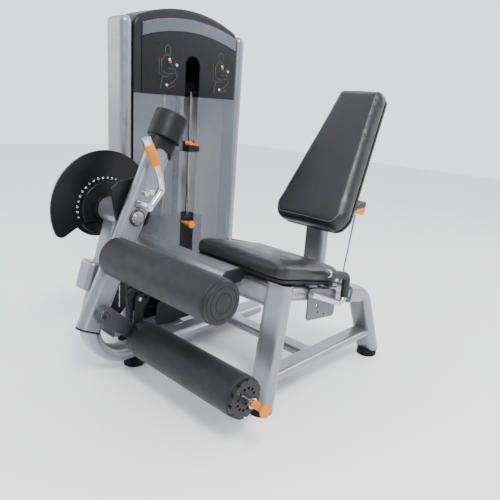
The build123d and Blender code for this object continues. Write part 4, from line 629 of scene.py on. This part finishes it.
def back_cushion():
    """The tall back cushion, narrower at the top, with a stitched line near its edge."""
    low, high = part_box("back_pad")
    half = BACK_HALF - PAD_GAP
    middle = (high[0] + low[0]) / 2
    up = Vector((0, math.sin(BACK_TILT), math.cos(BACK_TILT)))
    out = Vector((0, -math.cos(BACK_TILT), math.sin(BACK_TILT)))
    front_low = Vector((middle, low[1], high[2] - BACK_LONG * math.cos(BACK_TILT)))
    place = placement(front_low - out * BACK_THICK, Vector((1, 0, 0)), up)
    top = BACK_LONG - PAD_GAP
    narrow = BACK_TOP_HALF - PAD_GAP
    corners = [(-half + BACK_CUT, PAD_GAP), (half - BACK_CUT, PAD_GAP), (half, BACK_KNEE)]
    corners += [(narrow, top), (-narrow, top), (-half, BACK_KNEE)]
    pad = loft("back_cushion", corners, BACK_CORNERS_R, BACK_LEVELS, place, LOOKS["vinyl"])
    puff(pad, PAD_VOXEL, PAD_PRESSURE, PAD_SWELL)
    finish_pad(pad, "back_pad", "backrest")
    ring = rounded_ring(corners, BACK_CORNERS_R, STITCH_INSET)
    stitch = [place @ Vector((p.x, p.y, STITCH_HEIGHT)) for p in ring]
    seam("back_stitch", pad, stitch, STITCH_R, THREAD, "backrest")


def finish_pad(pad, node, body):
    """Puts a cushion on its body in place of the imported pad."""
    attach(pad, body)
    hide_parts(node)


# ================================================================ foam rollers
def foam_roller(name, node, body, bore):
    """A foam sleeve with rounded ends."""
    low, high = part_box(node)
    radius = (high[2] - low[2]) / 2
    y, z = (low[1] + high[1]) / 2, (low[2] + high[2]) / 2
    x0, x1 = low[0], high[0]
    step = 90 / FOAM_END_STEPS
    turns = [step * n for n in range(FOAM_END_STEPS + 1)]
    profile = [(x0, bore)]
    profile += [arc_point(x0 + FOAM_END_R, radius - FOAM_END_R, 180 - turn) for turn in turns]
    for n in range(1, FOAM_RUNS):
        profile.append((x0 + FOAM_END_R + (x1 - x0 - 2 * FOAM_END_R) * n / FOAM_RUNS, radius))
    profile += [arc_point(x1 - FOAM_END_R, radius - FOAM_END_R, 90 - turn) for turn in turns]
    profile.append((x1, bore))
    roller = lathe(name, profile, y, z, LOOKS["foam"], FOAM_STEPS)
    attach(roller, body)
    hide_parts(node)


def arc_point(x, radius, degrees):
    """A point (x, radius) on the round of a foam roller's end."""
    turn = math.radians(degrees)
    return x + FOAM_END_R * math.cos(turn), radius + FOAM_END_R * math.sin(turn)


# ================================================================ small fittings
def pivot():
    """(y, z) of the arm's shaft."""
    low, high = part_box("pivot_shaft")
    return (low[1] + high[1]) / 2, (low[2] + high[2]) / 2


def bearing_trim():
    """The brown ring round the nut at the arm's pivot."""
    y, z = pivot()
    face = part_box("swing_arm")[1][0]
    profile = [
        (face + 0.0005, TRIM_INNER_R),
        (face + 0.0005, TRIM_OUTER_R),
        (face + 0.006, TRIM_OUTER_R),
        (face + TRIM_HIGH, TRIM_OUTER_R - 0.0015),
        (face + TRIM_HIGH, TRIM_INNER_R),
    ]
    ring = lathe("pivot_trim", profile, y, z, polished("brass_look", BRASS, 0.35))
    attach(ring, "arm")


def tube_plugs():
    """Black plastic plugs in the open ends of the tower's base tube and the mast's floor run."""
    for name, node in (("base_plug", "tower_base"), ("mast_plug", "mast_tube")):
        low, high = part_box(node)
        half_wide, half_thick = PLUG_HALF[node]
        x, z = PLUG_X[node], low[2] + TUBE_HALF
        ends = ((high[1], -1),) if node == "mast_tube" else ((high[1], -1), (low[1], 1))
        for n, (y, inward) in enumerate(ends):
            plug = oval_plug(f"{name}_{n}", x, y, z, half_wide, half_thick, inward)
            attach(plug, "frame")


def oval_plug(name, x, y, z, half_wide, half_thick, inward):
    """A domed flat-oval plug whose face stands just inside a tube's end."""
    straight = half_wide - half_thick
    outline = []
    for n in range(PLUG_STEPS):
        turn = 2 * math.pi * n / PLUG_STEPS
        side = straight if math.cos(turn) > 0 else -straight
        outline.append((side + half_thick * math.cos(turn), half_thick * math.sin(turn)))
    verts = []
    for share, depth in PLUG_PROFILE:
        verts += [(x + a * share, y + inward * depth, z + b * share) for a, b in outline]
    faces = [tuple(range(PLUG_STEPS)), tuple(range(len(verts) - PLUG_STEPS, len(verts)))]
    for level in range(len(PLUG_PROFILE) - 1):
        for n in range(PLUG_STEPS):
            n2 = (n + 1) % PLUG_STEPS
            base, top = level * PLUG_STEPS, (level + 1) * PLUG_STEPS
            faces.append((base + n, base + n2, top + n2, top + n))
    return new_mesh(name, verts, faces, LOOKS["black_plastic"], smooth=False)


def cam_bushes():
    """A bright sleeve in each of the cam's holes."""
    y, z = pivot()
    high_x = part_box("cam_disc")[1][0]
    steel = LOOKS["bright_steel"]
    outer, inner = CAM_HOLE_R - 0.0001, CAM_HOLE_R * 0.45
    profile = [
        (high_x - 0.007, inner),
        (high_x - 0.007, outer),
        (high_x - 0.0002, outer),
        (high_x - 0.0008, inner),
    ]
    for n in range(CAM_HOLES):
        turn = math.radians(CAM_FIRST_HOLE - n * CAM_HOLE_STEP)
        hole_y = y + CAM_HOLE_CIRCLE * math.cos(turn)
        hole_z = z + CAM_HOLE_CIRCLE * math.sin(turn)
        bush = lathe(f"cam_bush_{n}", profile, hole_y, hole_z, steel, BUSH_STEPS)
        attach(bush, "cam")


def pictograms():
    """Plain outline drawings of a seated user, with bright joints, on the picture panel."""
    low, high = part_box("picture_panel")
    face = high[0] + 0.0004
    width, height = high[1] - low[1], high[2] - low[2]
    for n, (across, up, size) in enumerate(PICTURE_SPOTS):
        at = (face, low[1] + width * across, low[2] + height * up)
        for k, outline in enumerate(FIGURE_LINES):
            draw(f"figure_{n}_{k}", outline, at, size)
        for k, (y, z, look) in enumerate(FIGURE_JOINTS):
            turns = [a * DOT_STEP for a in range(7)]
            spot = [(y + DOT_R * math.cos(turn), z + DOT_R * math.sin(turn)) for turn in turns]
            draw(f"joint_{n}_{k}", spot, at, size, look, DOT_LINE_R)


def draw(name, points, at, size, look="ink", radius=FIGURE_LINE_R):
    """A thin raised line on the picture panel, through points in shares of the size."""
    x, y, z = at
    line = wire(name, [(x, y + size * a, z + size * b) for a, b in points], radius, INKS[look])
    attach(line, "frame")


# ================================================================ studio and camera
def studio():
    """A pale floor, an even sky and three soft lamps."""
    corners = [(-FLOOR_HALF, -FLOOR_HALF, 0), (FLOOR_HALF, -FLOOR_HALF, 0)]
    corners += [(FLOOR_HALF, FLOOR_HALF, 0), (-FLOOR_HALF, FLOOR_HALF, 0)]
    floor = new_mesh("floor", corners, [(0, 1, 2, 3)], floor_look())
    soft_sky()
    for name, place, size, power in LAMPS:
        lamp(name, place, size, power)


def soft_sky():
    """A pale surround, darker on one side, so that round tubes show their form."""
    world = bpy.data.worlds.new("studio")
    bpy.context.scene.world = world
    world.use_nodes = True
    nodes, links = world.node_tree.nodes, world.node_tree.links
    dot = nodes.new("ShaderNodeVectorMath")
    dot.operation = "DOT_PRODUCT"
    dot.inputs[1].default_value = SKY_BRIGHT_SIDE
    links.new(nodes.new("ShaderNodeTexCoord").outputs["Generated"], dot.inputs[0])
    share = nodes.new("ShaderNodeMapRange")
    share.inputs["From Min"].default_value = SKY_DOT_DARK
    share.inputs["From Max"].default_value = SKY_DOT_PALE
    links.new(dot.outputs["Value"], share.inputs["Value"])
    mix = nodes.new("ShaderNodeMix")
    mix.data_type = "RGBA"
    mix.inputs["A"].default_value = SKY_DARK
    mix.inputs["B"].default_value = SKY_PALE
    links.new(share.outputs["Result"], mix.inputs["Factor"])
    links.new(mix.outputs["Result"], nodes["Background"].inputs["Color"])
    nodes["Background"].inputs["Strength"].default_value = SKY_STRENGTH


def floor_look():
    """Matt pale paper with hardly any variation."""
    s = Shader("floor_look", FLOOR_GREY, 0.6)
    s.mottle(s.noise(2.0), 0.985, 1.01)
    return s.mat


def lamp(name, place, size, power):
    """A square lamp aimed at the middle of the machine."""
    light = bpy.data.lights.new(name, "AREA")
    light.size = size
    light.energy = power
    piece = bpy.data.objects.new(name, light)
    piece.location = place
    aim = Vector(LAMP_AIM) - Vector(place)
    piece.rotation_euler = aim.to_track_quat("-Z", "Y").to_euler()
    bpy.context.scene.collection.objects.link(piece)


def camera():
    """A view from in front and the open side, tipped down and rolled a little."""
    ahead = Vector((
        -math.sin(CAMERA_TURN) * math.cos(CAMERA_DOWN),
        math.cos(CAMERA_TURN) * math.cos(CAMERA_DOWN),
        -math.sin(CAMERA_DOWN),
    ))
    level = Vector((math.cos(CAMERA_TURN), math.sin(CAMERA_TURN), 0))
    below = ahead.cross(level)
    right = level * math.cos(CAMERA_ROLL) - below * math.sin(CAMERA_ROLL)
    down = level * math.sin(CAMERA_ROLL) + below * math.cos(CAMERA_ROLL)
    data = bpy.data.cameras.new("camera")
    data.lens = LENS
    data.dof.use_dof = False
    piece = bpy.data.objects.new("camera", data)
    turn = Matrix((right, -down, -ahead)).transposed().to_4x4()
    piece.matrix_world = Matrix.Translation(CAMERA_AT) @ turn
    bpy.context.scene.collection.objects.link(piece)
    bpy.context.scene.camera = piece


camera()
dress_nodes()
seat_cushion()
back_cushion()
foam_roller("upper_foam", "upper_roller_pad", "upper_roller", CORE_R)
foam_roller("lower_foam", "lower_roller_pad", "lower_roller", CORE_R)
bearing_trim()
tube_plugs()
cam_bushes()
pictograms()
studio()
bpy.context.view_layer.update()
